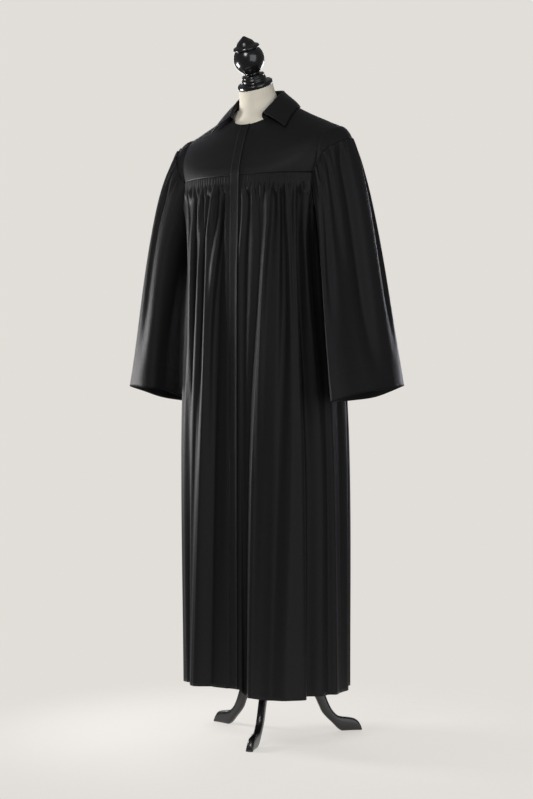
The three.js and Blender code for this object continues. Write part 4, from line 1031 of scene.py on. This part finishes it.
def neck_cap_rings():
    """Cap, ball and tip turned as one, leant forward by CAP_TILT and set on the form's neck.

    The ball is an arc of BALL_RADIUS round its own middle, from BALL_FROM to BALL_TO degrees.
    """
    turn = np.radians(180 - np.linspace(BALL_FROM, BALL_TO, 40))
    ball = np.stack([BALL_RADIUS * np.sin(turn), BALL_HEIGHT + BALL_RADIUS * np.cos(turn)], axis=-1)
    rings = turned([*CAP_PROFILE, *ball, *TIP_PROFILE], 96)
    lean = np.radians(CAP_TILT)
    y, z = rings[..., 1].copy(), rings[..., 2].copy()
    rings[..., 1] = y * np.cos(lean) - z * np.sin(lean) + FIGURE[0, 4] - SEAM * np.sin(lean)
    rings[..., 2] = y * np.sin(lean) + z * np.cos(lean) + FIGURE[0, 1] + SEAM * np.cos(lean)
    return rings[1:-1]


def leg_rings(degrees, rows=72, columns=28):
    """Cabriole leg: rounded sections between its upper and under outlines, from root to toe."""
    def along(points, t):
        """Smooth line through the points, read at parts t of its length."""
        points = np.array(points, float)
        lengths = np.concatenate([[0], np.cumsum(np.linalg.norm(np.diff(points, axis=0), axis=-1))])
        return curve(lengths / lengths[-1], points, t[:, None])

    t = np.linspace(0, 1, rows)
    top, under = along(LEG_TOP, t), along(LEG_UNDER, t)
    under[:, 1] = np.maximum(under[:, 1], FOOT_Z)
    middle, half = (top + under) / 2, (top - under) / 2
    turn = np.linspace(0, 2 * np.pi, columns, endpoint=False)
    wave = np.stack([np.cos(turn), np.sin(turn)])
    bent_cos, bent_sin = np.sign(wave) * np.abs(wave) ** LEG_SQUARENESS
    reach = middle[:, None, 0] + half[:, None, 0] * bent_sin
    height = middle[:, None, 1] + half[:, None, 1] * bent_sin
    across = LEG_THICK / 2 * bent_cos + 0 * reach
    angle = np.radians(degrees)
    return np.stack([
        reach * np.sin(angle) + across * np.cos(angle),
        -reach * np.cos(angle) + across * np.sin(angle) + POLE_DEPTH,
        height,
    ], axis=-1)


# ---------- Stitches ----------
def edge_line(grid, inset, closed=False, first=0, last=None):
    """A line that runs inset millimetres up from the grid's last row, with outward directions."""
    up, normals = grid[::-1, first:last], grid_normals(grid, closed)[::-1, first:last]
    steps = np.linalg.norm(np.diff(up, axis=0), axis=-1)
    reach = np.concatenate([np.zeros_like(steps[:1]), np.cumsum(steps, axis=0)])
    row = np.clip((reach < inset).sum(axis=0) - 1, 0, len(steps) - 1)
    column = np.arange(up.shape[1])
    share = ((inset - reach[row, column]) / steps[row, column])[:, None]
    return lerp(up[row, column], up[row + 1, column], share), normals[row, column]


def stitches(name, lines, pitch=3.4, length=2.4, width=0.55, height=0.35):
    """Thread stitches along lines on the cloth: each is a small six-sided spindle, half sunk."""
    stations = np.array([-0.5, -0.3, 0.3, 0.5]) * length
    swell = np.array([0.25, 1.0, 1.0, 0.25])
    turn = np.linspace(0, 2 * np.pi, 6, endpoint=False)
    ends = np.array([[0, 1, 2, 3], [0, 3, 4, 5], [21, 20, 19, 18], [23, 22, 21, 18]])
    one = np.concatenate([grid_faces(4, 6, closed=True), ends])
    per_stitch = stations.size * turn.size
    points, faces, count = [], [], 0
    for line, normal in lines:
        lengths = np.concatenate([[0], np.cumsum(np.linalg.norm(np.diff(line, axis=0), axis=-1))])
        middles = np.arange(pitch, lengths[-1] - pitch, pitch)
        at = np.stack([np.interp(middles, lengths, line[:, a]) for a in range(3)], axis=-1)
        ahead = np.stack([np.interp(middles + 1, lengths, line[:, a]) for a in range(3)], axis=-1)
        out = unit(np.stack([np.interp(middles, lengths, normal[:, a]) for a in range(3)], axis=-1))
        forward = unit(ahead - at)
        side = unit(np.cross(out, forward))
        ring = (
            at[:, None, None] + forward[:, None, None] * stations[:, None, None]
            + side[:, None, None] * (swell[:, None] * np.cos(turn) * width / 2)[..., None]
            + out[:, None, None] * (swell[:, None] * np.sin(turn) * height + 0.05)[..., None]
        )
        points.append(ring.reshape(-1, 3))
        firsts = count + per_stitch * np.arange(len(middles))
        faces.append((one[None] + firsts[:, None, None]).reshape(-1, 4))
        count += per_stitch * len(middles)
    piece = put_mesh(name, np.concatenate(points), np.concatenate(faces), thread)
    return piece


# ---------- Assembly ----------
yoke_front = front_yoke(rows=60, seam_columns=110, arm_columns=61)
yoke_back_grid = back_yoke(rows=56, arm_columns=60, seam_columns=90)
front_left_grid = front_panel(
    LEFT_FOLDS, LEFT_LINES, LEFT_LIFT_FADE, seed=11, width=LEFT_TUCK, flush=False
)
front_right_grid = front_panel(
    RIGHT_FOLDS, RIGHT_LINES, RIGHT_LIFT_FADE, seed=23, width=RIGHT_TUCK, flush=True
)
back_lines = even_lines(first=-152, last=152, count=17, seed=29)
back_grid = skirt_panel(
    BACK_FOLDS, back_lines, BACK_TOP, BACK_CORNER_POINT, BACK_SEAM_Z, lift_fade=None,
    count=230, rows=170, seed=37, width=BACK_TUCK,
)
left_sleeve, left_band = sleeve_grids(LEFT_SLEEVE, LEFT_HOLLOWS, seed=51, columns=230, rows=120)
right_sleeve, right_band = sleeve_grids(
    RIGHT_SLEEVE, RIGHT_HOLLOWS, seed=67, columns=230, rows=120
)
collar_face = collar_grid(steps=90, rows=44)
placket_face = placket_grid(front_left_grid, front_right_grid, yoke_front)

pieces = {
    "yoke_front_left": cloth_piece("yoke_front_left_cloth", yoke_front),
    "yoke_front_right": cloth_piece("yoke_front_right_cloth", mirrored(yoke_front)),
    "yoke_back": cloth_piece("yoke_back_cloth", yoke_back_grid),
    "front_left": cloth_piece("front_left_cloth", front_left_grid),
    "front_right": cloth_piece("front_right_cloth", mirrored(front_right_grid)),
    "back": cloth_piece("back_cloth", back_grid),
    "sleeve_left": cloth_piece("sleeve_left_cloth", left_sleeve, closed=True),
    "sleeve_right": cloth_piece("sleeve_right_cloth", mirrored(right_sleeve), closed=True),
    "sleeve_band_left": cloth_piece("sleeve_band_left_cloth", left_band),
    "sleeve_band_right": cloth_piece("sleeve_band_right_cloth", mirrored(right_band)),
    "collar": cloth_piece("collar_cloth", collar_face),
    "placket": cloth_piece("placket_cloth", placket_face, thickness=PLACKET_CLOTH),
}
for _node, _piece in pieces.items():
    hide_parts(_node)

# How far each stitch line runs from its edge. The front yokes' lines stop short of the armholes.
YOKE_INSET, COLLAR_INSET, BAND_INSET, CUFF_INSET = 4.0, 5.0, 3.0, 60.0
seam_lines = [
    edge_line(yoke_front, YOKE_INSET, last=108),
    edge_line(mirrored(yoke_front), YOKE_INSET, first=69),
]
stitches("stitches_yoke_fronts", seam_lines)
stitches("stitches_yoke_back", [edge_line(yoke_back_grid, YOKE_INSET)])
placket_out = grid_normals(placket_face)
stitches("stitches_placket", [(placket_face[:, k], placket_out[:, k]) for k in (1, -2)])
stitches("stitches_collar", [edge_line(collar_face, COLLAR_INSET)], pitch=3.0, length=2.2)
band_lines = [edge_line(band, BAND_INSET) for band in (left_band, mirrored(right_band))]
stitches("stitches_bands", band_lines)
cuff_lines = [
    edge_line(sleeve, CUFF_INSET, closed=True) for sleeve in (left_sleeve, mirrored(right_sleeve))
]
stitches("stitches_cuffs", cuff_lines, pitch=6.0, length=2.2)

form = skin_piece("form_cover", form_rings(columns=120, rows=170), cream_cloth)
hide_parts("form_body")
cap = skin_piece("neck_cap_turned", neck_cap_rings(), gloss_wood)
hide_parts("neck_cap")
TURNED = [("pole_rod", "pole", POLE_PROFILE), ("hub_turned", "hub", HUB_PROFILE)]
for _name, _part, _profile in TURNED:
    _rings = turned(_profile, segments=48)[1:-1]
    _rings[..., 1] += POLE_DEPTH
    _turned = skin_piece(_name, _rings, satin_wood)
    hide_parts(_part)
for _k, _name in enumerate(["leg_front", "leg_left", "leg_right"]):
    _rings = leg_rings(LEG_FIRST + _k * LEG_STEP)
    _leg = skin_piece(_name + "_carved", _rings, satin_wood)
    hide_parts(_name)

# ---------- Floor, backdrop and light ----------
FLOOR_RADIUS, FADE_FROM, FADE_TO = 2.0, 0.30, 0.85       # the floor fades out into the backdrop
BACKDROP = (0.755, 0.73, 0.692, 1)
floor_material, _tree, _shader = new_material("floor")
_shader.inputs["Roughness"].default_value = 0.9
_shader.inputs["Specular IOR Level"].default_value = 0.1
_shader.inputs["Base Color"].default_value = (0.30, 0.293, 0.279, 1)
_shader.inputs["Emission Color"].default_value = BACKDROP
_shader.inputs["Emission Strength"].default_value = 0.76
_place = node(_tree, "ShaderNodeTexCoord")
_away = node(_tree, "ShaderNodeVectorMath", operation="LENGTH")
_tree.links.new(_place.outputs["Object"], _away.inputs[0])
_fade = node(_tree, "ShaderNodeMapRange", interpolation_type="SMOOTHSTEP")
_fade.inputs["From Min"].default_value = FADE_FROM
_fade.inputs["From Max"].default_value = FADE_TO
_tree.links.new(_away.outputs["Value"], _fade.inputs["Value"])
_clear = node(_tree, "ShaderNodeBsdfTransparent")
_blend = node(_tree, "ShaderNodeMixShader")
_tree.links.new(_fade.outputs["Result"], _blend.inputs[0])
_tree.links.new(_shader.outputs[0], _blend.inputs[1])
_tree.links.new(_clear.outputs[0], _blend.inputs[2])
_tree.links.new(_blend.outputs[0], _tree.nodes["Material Output"].inputs["Surface"])
_turn = np.linspace(0, 2 * np.pi, 64, endpoint=False)
_rim = FLOOR_RADIUS * np.stack([np.sin(_turn), np.cos(_turn), 0 * _turn], axis=-1)
_floor_mesh = bpy.data.meshes.new("floor")
_floor_mesh.from_pydata(_rim.tolist(), [], [list(range(len(_rim)))[::-1]])
_floor_mesh.materials.append(floor_material)
floor = bpy.data.objects.new("floor", _floor_mesh)
bpy.context.scene.collection.objects.link(floor)

world = bpy.data.worlds.new("studio")
world.use_nodes = True
bpy.context.scene.world = world
_tree = world.node_tree
_seen = node(_tree, "ShaderNodeBackground", Color=BACKDROP, Strength=1.0)
_lit = node(_tree, "ShaderNodeBackground", Color=(0.95, 0.97, 1.0, 1), Strength=0.145)
_rays = node(_tree, "ShaderNodeLightPath")
_either = node(_tree, "ShaderNodeMixShader")
_tree.links.new(_rays.outputs["Is Camera Ray"], _either.inputs[0])
_tree.links.new(_lit.outputs[0], _either.inputs[1])
_tree.links.new(_seen.outputs[0], _either.inputs[2])
_tree.links.new(_either.outputs[0], _tree.nodes["World Output"].inputs["Surface"])


def softbox(name, place_at, aim, size, power, colour=(1, 1, 1)):
    """A square area light in metres from the robe's axis, aimed at a point on it."""
    light = bpy.data.lights.new(name, "AREA")
    light.size, light.energy, light.color = size, power, colour
    lamp = bpy.data.objects.new(name, light)
    lamp.location = AXIS + np.array(place_at)
    direction = np.array(aim) - np.array(place_at)
    pitch = np.arctan2(direction[2], np.hypot(direction[0], direction[1]))
    lamp.rotation_euler = (np.pi / 2 + pitch, 0, np.arctan2(-direction[0], direction[1]))
    lamp.visible_camera = False
    bpy.context.scene.collection.objects.link(lamp)


# Each light: name, where it stands, what it is aimed at, width, power and colour.
softbox("key", (-1.4, -0.33, 0.97), (0, 0, 1.05), 0.5, 23.5, (1.0, 0.975, 0.985))
softbox("rim", (0.1, 3.2, 1.4), (0.1, 0, 0.9), 1.0, 22, (0.92, 0.91, 1.0))
softbox("back", (-1.9, 2.6, 1.6), (0, 0, 0.9), 2.0, 34)
softbox("front", (0.3, -2.8, 2.8), (0, 0, 1.2), 0.8, 28, (0.98, 0.98, 1.0))
softbox("fill", (4.7, -2.5, 1.4), (0, 0, 1.0), 4.4, 98, (0.94, 0.97, 1.0))

bpy.context.scene.view_settings.view_transform = "Standard"
